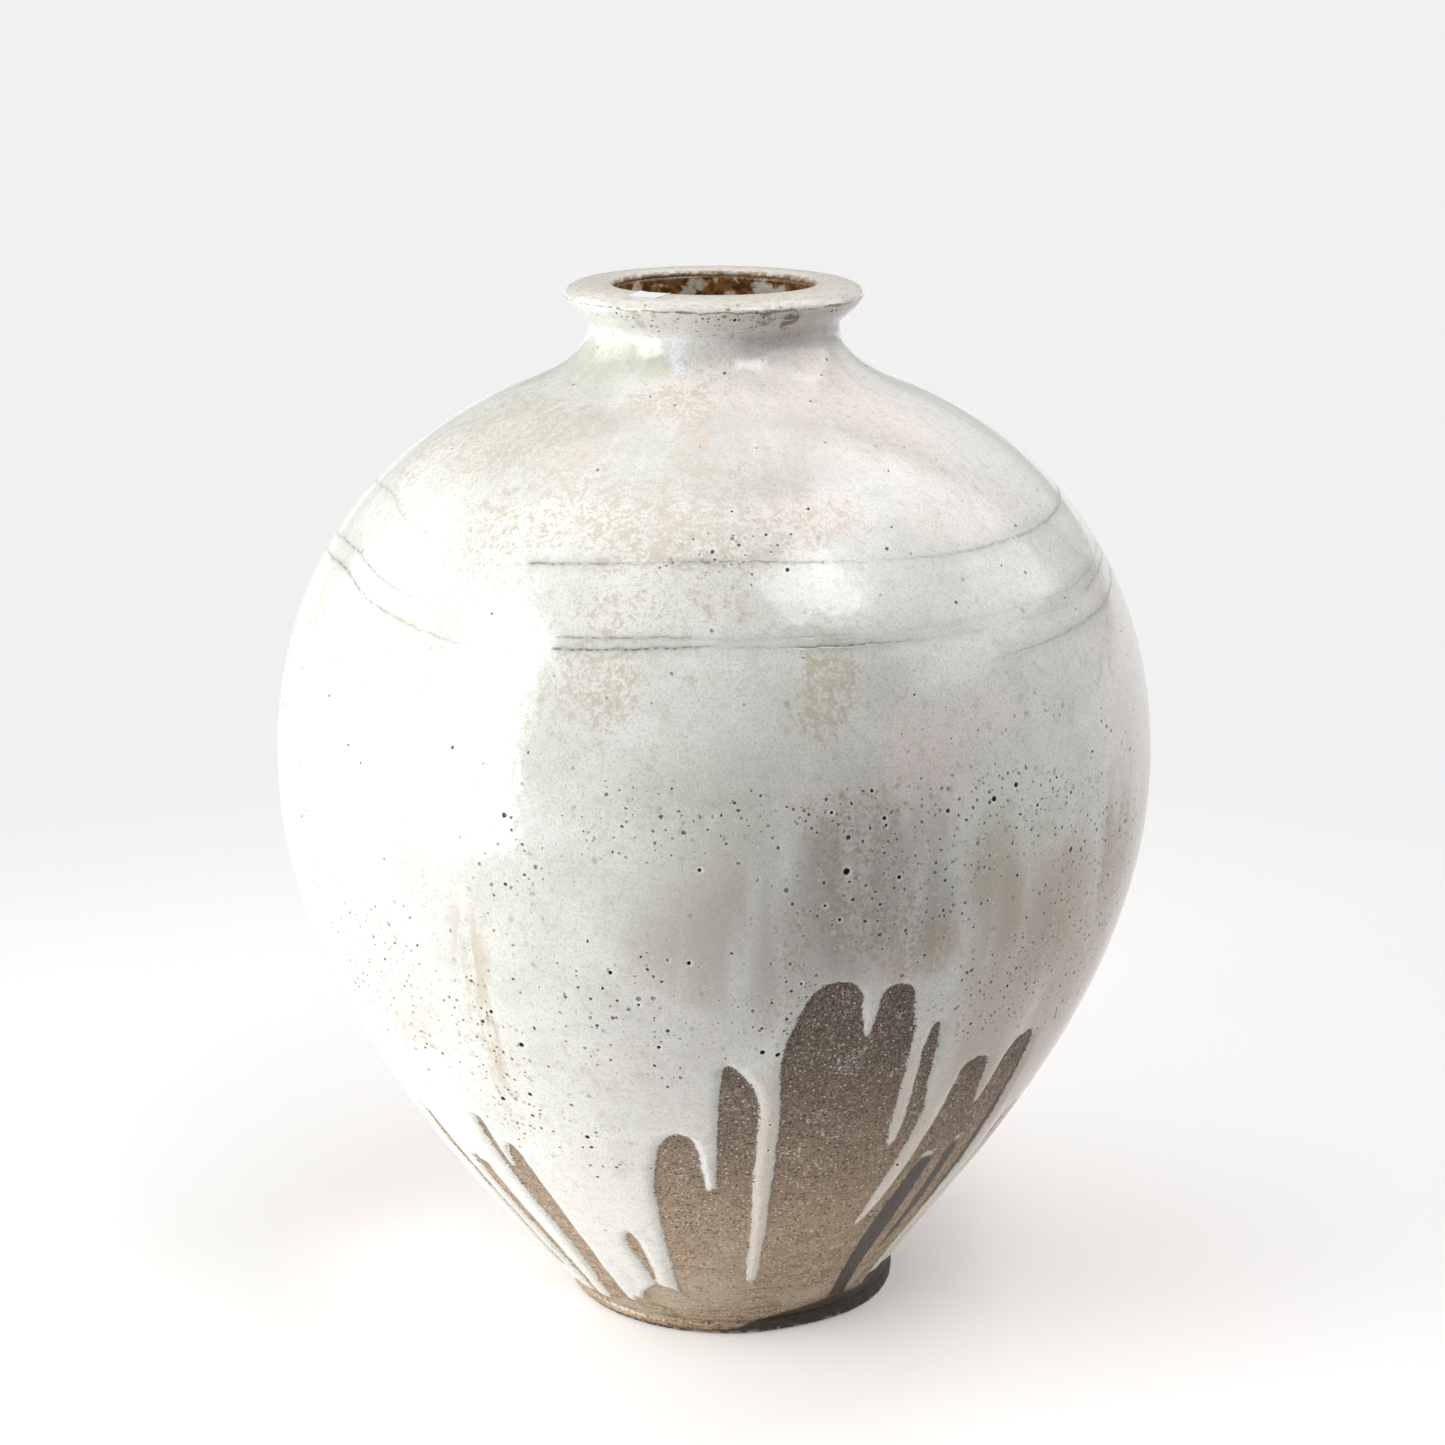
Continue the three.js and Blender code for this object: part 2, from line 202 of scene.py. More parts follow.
# %% Bare fingers
# Each finger: how tall its round top is, and its stations (height, bearing of its left and of its right edge)
FRONT_FINGERS = [
    (14, [(0, -11.2, 2), (60, -10.4, 2), (86, -10.2, 2), (88.5, -10.1, -1.2), (95, -9.8, -1.6),
         (103, -8.9, -2.2), (117.5, -8.2, -2.2)]),
    (3, [(0, -1, 8.9), (32.5, -1, 8.7), (33.5, -1, 7.7), (36, -1, 7.1), (60, -1, 7.1), (80, -1, 6.7),
         (88, -1, 6.5), (90, 0.4, 6.4), (125, 0.6, 6.4), (135, 0.8, 6), (141, 1, 5), (145.5, 1.1, 3.6),
         (149, 1.2, 2.6)]),
    (8, [(0, 8.5, 21), (32.5, 8.5, 21), (33.5, 9.4, 21), (36, 10, 21), (60, 10.2, 21), (80, 9.7, 21),
         (125, 9.3, 21), (150, 8.8, 21), (156.5, 9.2, 21), (158, 9.3, 19.5), (163, 9.8, 19),
         (168, 10.4, 18.8), (174, 11.5, 18.6), (181.7, 12.2, 18.4)]),
    (7, [(0, 19, 29.5), (101, 19, 29.5), (104, 19, 28.2), (110, 19, 27.6), (125, 19, 27),
         (156.5, 19, 26.6), (158, 20.2, 26.6), (163, 20.6, 26.3), (170, 20.9, 25.8), (178, 21, 25.6)]),
    (8, [(0, 27, 31), (57, 27, 31), (60, 27, 30.2), (70, 27, 30.5), (80, 27, 31.1), (90, 27, 31.7),
         (100, 27, 32.2), (102, 28.8, 32.2), (105, 29.6, 32.4), (112, 29.6, 32.6), (120, 29.5, 32.5),
         (126, 29.3, 32), (132, 29.1, 31.3), (145, 28.9, 31.1), (158.5, 29.3, 30.7)]),
    (6, [(0, 30, 46), (57, 30, 46), (60, 31, 46), (64, 32.3, 46), (70, 33.4, 46), (80, 34.3, 46),
         (90, 35.1, 46), (110, 36.2, 46), (112, 36.3, 44.1), (118, 36.6, 43.2), (126, 36.9, 42.7),
         (137.3, 37.2, 42.2)]),
    (9, [(0, 43, 56), (40, 43, 55.2), (60, 43, 55), (80, 43, 54.5), (100, 43, 53.4), (111, 43, 52.8),
         (113, 44.5, 52.7), (120, 45.3, 52.4), (130, 45.9, 52), (141, 47, 51.9)]),
    (5, [(29, -16.8, -16.7), (35, -17.4, -16.2), (45, -18.3, -16), (51, -19.3, -16.2), (56, -19.2, -16.6),
         (61, -18.8, -17)]),
    (7, [(0, -41, -33), (12, -40.3, -33), (15, -39.8, -33), (20, -38.6, -33), (26, -37.2, -33),
         (33, -36, -33), (55, -36.7, -33), (65, -37.7, -33), (75, -38.4, -34), (84, -39.1, -35.5),
         (87, -39.4, -38.2), (95, -40, -38.5), (110, -40.4, -38.9)]),
    (6, [(0, -39, -31.2), (25, -37, -31.2), (45, -36, -31), (65, -36, -31.8), (75, -37, -32.3),
         (84, -38, -33), (86, -36.9, -33.1), (92, -36.5, -33.6), (99.5, -36.2, -34.1)]),
    (4, [(0, -50.5, -47), (14, -49.3, -46.4), (22, -47.5, -44.4), (40, -46.3, -43), (60, -47.8, -44.2),
         (75, -49.2, -45.4), (84, -49.5, -45.8)]),
    (6, [(18, -60, -52), (30, -56, -51.5), (45, -54, -50.8), (60, -54.5, -51.5), (80, -57, -53.5),
         (100, -58.5, -56)]),
]
# Fingers round the sides and the back: bearing, spread in degrees, top, and where they join at the foot
FAR_FINGERS = [
    (62, 5, 96, 12), (78, 8, 70, 30), (89, 9, 124, 48), (99, 6, 150, 20), (108, 8, 100, 62),
    (131, 12, 84, 30), (143, 8, 138, 58), (152, 7, 112, 24), (161, 6, 66, 40), (184, 13, 98, 36),
    (197, 9, 146, 70), (206, 6, 120, 22), (219, 10, 74, 16), (240, 14, 116, 48), (252, 8, 88, 26),
    (273, 5, 52, 14), (282, 5, 79, 30),
]
FINGER_CAP = 9.0
# Their stations from the foot up: height as shares of joint and top and millimetres more, then how far the
# left and the right edge lie from the middle, in half spreads
FAR_STATIONS = [
    (0, 0, 0, 1.6, 1.6), (1, 0, 0, 1.5, 1.4), (1, 0, 4, 1, 1), (0, 0.75, 0, 0.8, 0.9), (0, 1, 0, 0.9, 0.6),
]
fingers = list(FRONT_FINGERS)
for bearing, spread, top, joint in FAR_FINGERS:
    half = spread / 2
    fingers.append((FINGER_CAP, [
        (of_joint * joint + of_top * top + more, bearing - left * half, bearing + right * half)
        for of_joint, of_top, more, left, right in FAR_STATIONS
    ]))
print(f"glaze edge: {len(fingers)} fingers, highest {max(f[1][-1][0] for f in fingers)} mm")

# %% [markdown]
# Between the fingers the glaze ends along a wandering line near the foot. What the mesh needs from all this
# is one number for each point: how far it lies from the nearest edge of the glaze. Each finger's edges are
# read off between its stations, and its slanting sides are allowed for, so that the distance is true.

# %% Distance from the edge of the glaze
# Where the glaze ends between the fingers: bearing, height
GLAZE_LINE = [
    (-180, 13), (-150, 17), (-120, 12), (-90, 13), (-60, 8.5), (-42, 8.5), (-38, 15), (-34, 13), (-31, 15),
    (-29, 13), (-27, 17), (-25, 16), (-22.5, 22), (-20, 25), (-17, 29), (-14, 27), (-12, 26), (-9, 22),
    (8, 30), (40, 20), (60, 14), (90, 18), (120, 12), (150, 16), (180, 13),
]
SLANT_STEP = 0.5


def finger_edges(finger, height):
    """Middle and half width of a finger at a height, in degrees."""
    cap, stations = finger
    levels, lefts, rights = np.array(stations, dtype=float).T
    left = np.interp(height, levels, lefts)
    right = np.interp(height, levels, rights)
    rise = np.clip((height - levels[-1] + cap) / cap, 0, 1)
    half = (right - left) / 2 * np.sqrt(1 - rise ** 2)
    middle = (left + right) / 2
    return middle, half


def inside_finger(finger, bearing, height):
    """Distance in millimetres inside a finger's edge, negative outside it."""
    stations = finger[1]
    bottom, top = stations[0][0], stations[-1][0]
    middle, half = finger_edges(finger, height)
    per_degree = radius_at(height) * math.pi / 180
    aside = turn_from(middle, bearing)
    reach = (half - np.abs(aside)) * per_degree
    middle_up, half_up = finger_edges(finger, height + SLANT_STEP)
    middle_down, half_down = finger_edges(finger, height - SLANT_STEP)
    drift = (middle_up - middle_down) * np.sign(aside) + half_up - half_down
    depth = reach / np.sqrt(1 + (drift * per_degree / (2 * SLANT_STEP)) ** 2)
    beyond = np.maximum(height - top, bottom - height)
    outside = -np.hypot(np.maximum(beyond, 0), np.maximum(-reach, 0))
    return np.where(beyond > 0, outside, depth)


def glaze_depth(bearing, height):
    """Distance in millimetres from a point on the glaze to its nearest edge, negative on bare clay."""
    bare = np.interp(bearing, *np.array(GLAZE_LINE, dtype=float).T) - height
    for finger in fingers:
        bare = np.maximum(bare, inside_finger(finger, bearing, height))
    return -bare


front_depth = glaze_depth(np.array([0.0]), np.array([20.0]))[0]
print(f"glaze depth at the front of the foot: {front_depth:.1f} mm")

# %% [markdown]
# ## Turning a piece
# All of the jar's pieces are turned, so one helper spins a closed outline about the axis. Each vertex keeps
# how far along the outline it lies, so that later steps can find its true place after the mesh is refined,
# and whether its face can be seen. Nothing turned by hand is exact, so another helper gives a smooth noise.


# %% The wheel
def ripple(points, size):
    """Smooth noise from -1 to 1 with waves of about the given size in millimetres."""
    return np.array([noise.noise(Vector(p) / (size * MM)) for p in points])


WELD = 0.001 * MM


def turned(section, columns):
    """Spins a closed section, a list of (radius, height, distance along, shown), in millimetres."""
    bm = bmesh.new()
    along_layer = bm.verts.layers.float.new("along")
    shown_layer = bm.verts.layers.float.new("shown")
    ring = []
    for radius, height, along, shown in section:
        vert = bm.verts.new((radius * MM, 0, height * MM))
        vert[along_layer] = along
        vert[shown_layer] = shown
        ring.append(vert)
    edges = [bm.edges.new(pair) for pair in zip(ring, ring[1:] + ring[:1])]
    bmesh.ops.spin(bm, geom=ring + edges, cent=(0, 0, 0), axis=(0, 0, 1), angle=2 * math.pi,
                   steps=columns, use_merge=True)
    bmesh.ops.remove_doubles(bm, verts=bm.verts, dist=WELD)
    bmesh.ops.recalc_face_normals(bm, faces=bm.faces)
    return bm


def layer_values(bm, name):
    layer = bm.verts.layers.float[name]
    return np.array([v[layer] for v in bm.verts])


def places(bm):
    return np.array([v.co for v in bm.verts])


def put(bm, bearing, radius, height):
    """Moves each vertex to its place on the off-centre jar."""
    for vert, point in zip(bm.verts, place(bearing, radius, height)):
        vert.co = point


def finish_piece(bm, name):
    mesh = bpy.data.meshes.new(name)
    bm.to_mesh(mesh)
    bm.free()
    mesh.shade_smooth()
    piece = bpy.data.objects.new(name, mesh)
    bpy.context.collection.objects.link(piece)
    triangles = sum(len(p.vertices) - 2 for p in mesh.polygons)
    print(f"{name}: {triangles} triangles")
    return piece


def mark(piece, name, values):
    """Keeps one number per vertex, for a material to read."""
    attribute = piece.data.attributes.new(name, "FLOAT", "POINT")
    attribute.data.foreach_set("value", np.asarray(values, dtype=np.float32))


def mark_vector(piece, name, vectors):
    attribute = piece.data.attributes.new(name, "FLOAT_VECTOR", "POINT")
    attribute.data.foreach_set("vector", np.asarray(vectors, dtype=np.float32).ravel())


print(f"vertices closer than {WELD / MM} mm are welded")

# %% [markdown]
# ## The white coat
# The coat is a closed skin about a millimetre thick over the clay. It is spun coarse, then the faces near
# the glaze's edge and round the large pits are subdivided, because only there does the surface need
# sub-millimetre steps. Last, each vertex is put back on the true outline at the thickness that the glaze
# has there: a rounded, slightly swollen edge, a bowl in each pit, and on the bare fingers a film that lies
# inside the clay.

# %% Spin the coat
COAT_COLUMNS = 300
GLAZE_THICKNESS = 1.3
FILM_DEPTH = -0.7
BACK_DEPTH = -1.2
GLAZE_FOOT = 7.5
arc_at_glaze_foot = arc_at_height(GLAZE_FOOT)
# Rows of vertices on the body, the neck and the rim, and fewer on the back, which the clay hides
BODY_ROWS, NECK_ROWS, RIM_ROWS = 104, 26, 24
BACK_BODY_ROWS, BACK_NECK_ROWS, BACK_RIM_ROWS = 9, 12, 4
body_rows = np.linspace(arc_at_glaze_foot, arc_at_root, BODY_ROWS)
neck_rows = np.linspace(arc_at_root, arc_at_arris, NECK_ROWS)[1:]
rim_rows = np.linspace(arc_at_arris, arc[-1], RIM_ROWS)[1:]
back_rows = np.concatenate([
    np.linspace(arc[-1], arc_at_arris, BACK_RIM_ROWS),
    np.linspace(arc_at_arris, arc_at_root, BACK_NECK_ROWS)[1:],
    np.linspace(arc_at_root, arc_at_glaze_foot, BACK_BODY_ROWS)[1:],
])
coat_section = []
for along in np.concatenate([body_rows, neck_rows, rim_rows]):
    radius, height = on_outline(along, GLAZE_THICKNESS)
    coat_section.append((radius, height, along, 1.0))
for along in back_rows:
    radius, height = on_outline(along, BACK_DEPTH)
    coat_section.append((radius, height, along, 0.0))
coat_bm = turned(coat_section, COAT_COLUMNS)
print("coat, spun:", len(coat_bm.faces), "faces")

# %% [markdown]
# The edge of the glaze and the large pits need steps of a millimetre or less, and the rest of the coat
# doesn't. A subdivision modifier would make the whole skin fine, so here only chosen faces are halved, in
# three rounds: the edge and the pits all round, both again on the front, and there the pits once more.

# %% Refine the coat where it needs fine steps
# Large open pits: bearing, height, radius
LARGE_PITS = [
    (15.5, 222.5, 1.25), (35.2, 240, 1.0), (38.8, 243, 0.9), (42.2, 234, 0.7), (18.8, 249, 0.65),
    (46, 241.5, 0.5), (13.8, 243, 0.65), (20.2, 239.5, 0.8), (20.4, 237, 0.6), (13, 211, 0.6),
    (14.8, 205.5, 0.65), (10.5, 182.5, 0.6), (22, 218.5, 0.8), (6.2, 155.5, 0.95), (8.2, 154, 1.0),
    (9.2, 162.5, 0.6), (6, 165.5, 0.6), (-6.8, 157.5, 0.7), (-9, 174.5, 0.6), (-12.2, 186.5, 0.8),
    (-2.8, 191.5, 0.8), (8, 122.5, 0.5), (8.2, 110, 0.5), (32.5, 91, 0.6), (-1.5, 225, 0.7),
    (-19, 113, 0.9), (-18.8, 108, 0.8), (-31.5, 124.5, 1.0), (-25.5, 152, 1.0), (-29, 164, 0.8),
    (120, 230, 1.2), (140, 190, 1.0), (-150, 215, 1.1), (-125, 170, 0.9), (165, 240, 1.0), (-95, 205, 0.9),
    (8, 393.4, 0.6), (19, 394, 0.5), (-4, 394, 0.4), (-39, 394.4, 0.45), (-32, 393, 0.4), (51, 394, 0.55),
    (54, 394, 0.5),
]
FAR_FROM_PIT = 9.0
EDGE_TOP = 200.0
ALL_ROUND, FRONT_REACH = 181.0, 64.0


def beyond_pit(bearing, height):
    """Distance in millimetres from the lip of the nearest large pit, negative inside it."""
    gap = np.full(len(bearing), FAR_FROM_PIT)
    for middle, level, radius in LARGE_PITS:
        aside = turn_from(middle, bearing) * radius_at(height) * math.pi / 180
        gap = np.minimum(gap, np.hypot(aside, height - level) - radius)
    return gap


def refine(bm, edge_band, pit_band, reach):
    """Halves the faces near the glaze's edge and the large pits, up to a bearing each side of the front."""
    bm.verts.index_update()
    points = places(bm)
    shown = layer_values(bm, "shown") > 0.5
    bearing = bearing_of(points)
    height = points[:, 2] / MM
    near = (np.abs(glaze_depth(bearing, height)) < edge_band) & (height < EDGE_TOP)
    near |= beyond_pit(bearing, height) < pit_band
    near &= shown & (np.abs(bearing) < reach)
    edges = set()
    for face in bm.faces:
        if any(near[v.index] for v in face.verts) and all(shown[v.index] for v in face.verts):
            edges.update(face.edges)
    bmesh.ops.subdivide_edges(bm, edges=list(edges), cuts=1, use_grid_fill=True)


refine(coat_bm, edge_band=4.0, pit_band=4.0, reach=ALL_ROUND)
refine(coat_bm, edge_band=2.4, pit_band=2.0, reach=FRONT_REACH)
refine(coat_bm, edge_band=-1.0, pit_band=1.0, reach=FRONT_REACH)
print("coat, refined:", len(coat_bm.faces), "faces")

# %% [markdown]
# Glaze that ran ends in a rounded lip with a slight bead, because it draws itself together while it is
# molten. Cutting the mesh along the edge would leave slivers, so one function gives the coat's height over
# the clay at each distance from the edge, and past the edge the coat dips into the clay and out of sight.

# %% Thickness of the glaze at its edge
EDGE_ROUND, FRINGE = 4.2, 0.08
BEAD_HEIGHT, BEAD_WIDTH, BEAD_MIDDLE = 0.15, 2.5, 1.6
# Past its edge the coat sinks into the clay: distances beyond the edge, and its height there
SINKING = ([-2.2, -1.0, 0], [FILM_DEPTH, 0.04, FRINGE])


def edge_profile(depth):
    """Height of the glaze over the clay at a distance from its edge."""
    rise = np.clip(depth / EDGE_ROUND, 0, 1)
    rounded = FRINGE + (GLAZE_THICKNESS - FRINGE) * np.sin(rise * math.pi / 2)
    bead = BEAD_HEIGHT * np.exp(-((depth - BEAD_MIDDLE) / BEAD_WIDTH) ** 2) * (depth > 0)
    film = np.interp(depth, *SINKING)
    return np.where(depth > 0, rounded + bead, film)


print(f"glaze 2 mm from its edge: {edge_profile(np.array([2.0]))[0]:.2f} mm thick")

# %% [markdown]
# Now every vertex gets its thickness. The edge is frayed by noise of two sizes, the wall keeps faint
# throwing rings and a slow swell, and each large pit is pressed in as a bowl. A bump in the material could
# show the rings, but it would leave the outline smooth.

# %% Lay the glaze
PIT_DEPTH, PIT_LIP = 0.9, 0.5
FAR_FROM_EDGE, RAGGED_REACH, CALM_EDGE = 99.0, 6.0, 1.0
# Ripples of the edge, of the throwing rings and of the whole wall: height, and size of a wave
FINE_RAG, BROAD_RAG = (0.3, 2.2), (0.4, 7)
THROWING_RINGS, SWELL = (0.15, 16), (0.3, 70)
RING_STRETCH = [0.15, 0.15, 1]
coat_points = places(coat_bm)
coat_along = layer_values(coat_bm, "along")
coat_shown = layer_values(coat_bm, "shown") > 0.5
coat_bearing = bearing_of(coat_points)
coat_height = on_outline(coat_along)[1]
depth = np.full(len(coat_points), FAR_FROM_EDGE)
low_coat = coat_shown & (coat_height < EDGE_TOP)
depth[low_coat] = glaze_depth(coat_bearing[low_coat], coat_height[low_coat])
near_edge = low_coat & (np.abs(depth) < RAGGED_REACH)
fine_rag, broad_rag = (rag * ripple(coat_points[near_edge], size) for rag, size in (FINE_RAG, BROAD_RAG))
depth[near_edge] += fine_rag + broad_rag
rings = THROWING_RINGS[0] * ripple(coat_points * RING_STRETCH, THROWING_RINGS[1])
wave = rings + SWELL[0] * ripple(coat_points, SWELL[1])
stand_off = np.where(coat_shown, edge_profile(depth) + np.where(depth > CALM_EDGE, wave, 0), BACK_DEPTH)
pit_gap = np.where(coat_shown, beyond_pit(coat_bearing, coat_height), FAR_FROM_PIT)
stand_off -= PIT_DEPTH * np.clip(-pit_gap / PIT_LIP, 0, 1)
put(coat_bm, coat_bearing, *on_outline(coat_along, stand_off))
white_coat = finish_piece(coat_bm, "white_coat")

# %% [markdown]
# ## Marks in the glaze
# The glaze isn't one colour: it is thin and beige in flecks on the shoulder, pink towards the neck, smoky
# and sandy on the belly, pale green where it pooled and milky where a drip hangs on the neck. Some patches
# are painted light and shade: a whiter tint and the pale pink lift places that lie in shade, such as the neck
# under the rim, a grey one darkens others, and the smoky grey on the front of the belly is partly painted
# shade. A texture could be painted, but soft patches at known places are enough, because the fine grain
# comes from the material. Each patch is a soft oval on the unrolled jar with a wandering edge, and the
# strongest patch at a place wins.

# %% Patches of tint
# Each patch: bearing, height, half its width in degrees, half its height, strength
PATCHES = {
    "mottle": [
        (-15, 332, 12, 18, 0.95), (-26, 335, 10, 19, 0.85), (-37, 330, 9, 24, 0.75), (-4, 346, 9, 8, 0.95),
        (5, 343, 9, 7, 0.9), (14, 342, 7, 6, 0.75), (-14, 341, 6, 6, 0.8), (-4, 328, 12, 15, 1.05),
        (6, 326, 9, 14, 0.95), (-4, 357, 7, 14, 1.05), (-18, 363, 16, 8, 0.95), (17, 331, 12, 9, 0.95),
        (-34, 352, 18, 14, 0.95), (-55, 350, 22, 18, 0.95), (-72, 345, 14, 26, 0.8),
        (-14, 283, 8, 19, 0.95), (-12, 306, 11, 10, 0.8), (0, 309, 8, 9, 0.75), (15, 281, 6, 20, 0.98),
        (14, 304, 5, 2, 0.9), (16, 234, 8, 30, 0.85), (18, 206, 11, 26, 0.9), (25, 190, 6, 15, 1.0),
        (46, 180, 4, 18, 0.9), (58.5, 205, 3, 32, 0.9), (62.5, 203, 3, 22, 0.9), (49, 215, 2, 16, 0.8),
        (36, 205, 5, 28, 0.6), (40, 158, 10, 20, 0.6), (-31, 160, 4, 45, 0.6), (-14, 146, 10, 16, 0.5),
        (-44, 160, 12, 36, 0.5), (9, 190, 3, 34, 0.8), (75, 180, 12, 60, 0.6), (120, 300, 40, 40, 0.7),
        (160, 200, 24, 60, 0.7), (-120, 320, 40, 34, 0.8), (-150, 180, 24, 50, 0.7),
        (-100, 200, 14, 50, 0.5), (105, 170, 16, 50, 0.6), (180, 336, 36, 22, 0.9), (-8, 372, 22, 9, 0.7),
    ],
    # Pink tint, made pale enough that on the neck it is also painted light, in the shade under the rim
    "blush_and_painted_light": [
        (36, 366, 42, 30, 0.9), (17, 334, 12, 9, 0.7), (46, 330, 20, 14, 0.5), (25, 250, 7, 30, 0.9),
        (14, 248, 10, 8, 0.5), (34, 268, 14, 10, 0.5), (70, 230, 16, 90, 0.6), (60, 150, 14, 50, 0.8),
        (43, 150, 10, 32, 0.8), (-8, 364, 16, 12, 0.6), (130, 350, 40, 30, 0.6), (-140, 250, 30, 40, 0.5),
    ],
    # Smoky brown in the glaze, and partly painted shade where the front of the belly lies in shade
    "smoke_and_painted_shade": [
        (16, 215, 9, 40, 1.0), (25, 214, 6, 36, 0.8), (5, 205, 13, 46, 0.55), (46, 184, 6, 26, 0.6),
        (-4, 165, 14, 40, 0.35), (4, 198, 15, 40, 0.7), (61, 200, 6, 36, 0.7), (36, 190, 6, 30, 0.4),
        (150, 210, 25, 50, 0.7), (-130, 200, 25, 50, 0.6),
    ],
    "sage": [
        (36, 208, 5, 36, 0.9), (43, 218, 5, 30, 0.4), (-30, 376, 18, 6, 0.8), (-56, 372, 26, 11, 0.6),
        (14, 281, 5.5, 22, 0.35), (-4, 220, 12, 50, 0.35), (50, 190, 4, 30, 0.4), (3, 389, 16, 4, 0.3),
        (-160, 260, 30, 50, 0.6), (100, 240, 20, 60, 0.5),
    ],
    "peach": [
        (-12, 356, 26, 22, 1.0), (4, 336, 24, 16, 0.8), (20, 330, 16, 12, 0.8), (-31, 160, 5, 55, 0.9),
        (-44, 160, 12, 36, 0.8), (19, 208, 12, 42, 0.6), (55, 165, 10, 65, 0.6), (40, 150, 12, 30, 0.6),
    ],
    "streaked": [
        (46, 182, 4, 22, 0.9), (58.5, 205, 2.5, 34, 1.0), (62.5, 204, 3, 24, 1.0), (49, 215, 1.5, 18, 0.9),
        (25, 190, 6, 16, 0.8), (54, 160, 6, 40, 0.5), (66, 190, 5, 60, 0.7), (-31, 160, 4, 55, 0.8),
        (-45, 165, 9, 40, 0.5), (76, 170, 9, 80, 0.8), (110, 180, 20, 70, 0.8), (170, 190, 20, 70, 0.8),
        (-140, 180, 24, 70, 0.8), (-95, 180, 12, 60, 0.6),
    ],
    "pitted": [
        (20, 243, 30, 10, 0.8), (23, 214, 17, 26, 0.7), (40, 168, 12, 26, 1.0), (-8, 238, 14, 14, 0.6),
        (42, 232, 12, 16, 0.9), (-31, 140, 6, 40, 0.7), (-48, 165, 14, 34, 0.45), (4, 324, 14, 10, 0.5),
        (-20, 110, 10, 20, 0.3), (56, 190, 14, 60, 0.7), (-8, 170, 14, 30, 0.35), (9, 172, 6, 18, 0.7),
        (-24, 215, 6, 40, 0.35), (0, 392, 45, 5, 0.7), (36, 264, 14, 6, 0.3), (-120, 210, 40, 60, 0.7),
        (140, 200, 50, 60, 0.8),
    ],
    # Whiter glaze where it ran thick, and painted light: a painted highlight in a pale column up the left
    # shoulder, and places lifted under the rim, on the right shoulder and low on the left
    "pale_and_painted_light": [
        (-40, 70, 44, 75, 0.7), (-14, 70, 9, 60, 0.5), (-44, 130, 24, 50, 0.4), (-30, 310, 8, 40, 0.5),
        (-110, 70, 40, 60, 0.6), (54, 288, 24, 30, 0.7), (64, 345, 18, 36, 1.0), (14, 386, 50, 8, 1.0),
        (38, 262, 14, 14, 0.8),
    ],
    "cream": [
        (8.4, 80, 5, 70, 1.0), (28, 112, 4, 50, 0.9), (33, 90, 4, 50, 1.0), (45, 110, 4, 20, 0.8),
        (60, 100, 9, 80, 1.0), (75, 60, 20, 60, 0.6), (150, 60, 60, 60, 0.7), (-140, 60, 30, 60, 0.5),
    ],
    "smear": [
        (31, 394.6, 4.2, 3, 1.0), (20, 394.3, 4, 1.8, 0.5), (-30, 391, 3, 3, 0.35),
        (-20.6, 279, 0.6, 15, 0.6), (150, 391, 6, 4, 0.8),
    ],
    "sand": [
        (43, 150, 13, 40, 0.8), (60, 150, 13, 70, 1.0), (50, 190, 12, 34, 0.8), (76, 150, 16, 80, 0.9),
        (36, 190, 6, 44, 0.8), (110, 160, 20, 60, 0.7), (-160, 150, 30, 60, 0.6),
    ],
    # Painted shade: soft grey bands across the right shoulder near the incised lines, and darker places on
    # the upper shoulder and the front of the belly
    "shade": [
        (14, 297, 8, 5, 0.7), (30, 296.5, 13, 4, 0.7), (54, 297.5, 16, 4, 0.6), (68, 300, 10, 4, 0.6),
        (50, 319.5, 16, 2.5, 0.5), (2, 297.5, 9, 3.5, 0.6), (62, 288, 16, 3.5, 0.4),
        (-32, 350, 32, 17, 0.9), (-60, 352, 20, 14, 0.6), (12, 350, 34, 14, 0.9), (3, 250, 9, 24, 0.7),
    ],
    "milk": [
        (-15, 381, 4.5, 6, 1.0), (-12.5, 375.5, 3.5, 5, 0.9), (7, 384, 5, 2.5, 0.6),
    ],
}
print("tints:", ", ".join(PATCHES))

# %% [markdown]
# The strength of each tint is kept per vertex, as an attribute that the material reads by its name. The
# ovals could be worked out in the material instead, but there are over a hundred of them, and each would
# need several nodes.

# %% Lay the patches on the coat
# A patch fades out between these shares of its half width
PATCH_INNER, PATCH_OUTER = 0.4, 1.3
# How far a patch's edge wanders aside in degrees and up in millimetres, and the size of a wave
DRIFT, DRIFT_WAVE = 2, 26
RISE, RISE_WAVE = 4, 20
OTHER_NOISE = [3, 0, 0]
EDGE_LIMITS = (-4, 20)


def patchwork(patches, bearing, height):
    """Strength from 0 to 1 of the strongest patch at each point."""
    strength = np.zeros(len(bearing))
    for middle, level, spread, rise, amount in patches:
        aside = turn_from(middle, bearing)
        reach = np.hypot(aside / spread, (height - level) / rise)
        soft = np.clip((PATCH_OUTER - reach) / (PATCH_OUTER - PATCH_INNER), 0, 1)
        strength = np.maximum(strength, amount * soft * soft * (3 - 2 * soft))
    return strength


tint_bearing = coat_bearing + DRIFT * ripple(coat_points, DRIFT_WAVE)
tint_height = coat_height + RISE * ripple(coat_points + OTHER_NOISE, RISE_WAVE)
for tint, patches in PATCHES.items():
    mark(white_coat, tint, patchwork(patches, tint_bearing, tint_height))
mark(white_coat, "edge", np.clip(depth, *EDGE_LIMITS))
mark(white_coat, "pit_gap", pit_gap)
print("marks on the coat:", len(white_coat.data.attributes))

# %% [markdown]
# Before glazing, the potter dragged a tool round the shoulder, and the glaze lies thin and dark in those
# lines. They wander up and down a little and fade out. The material needs to know how far above or below
# each line a point lies and how dark the line is there, so both are kept per vertex, and the line itself
# stays sharp.

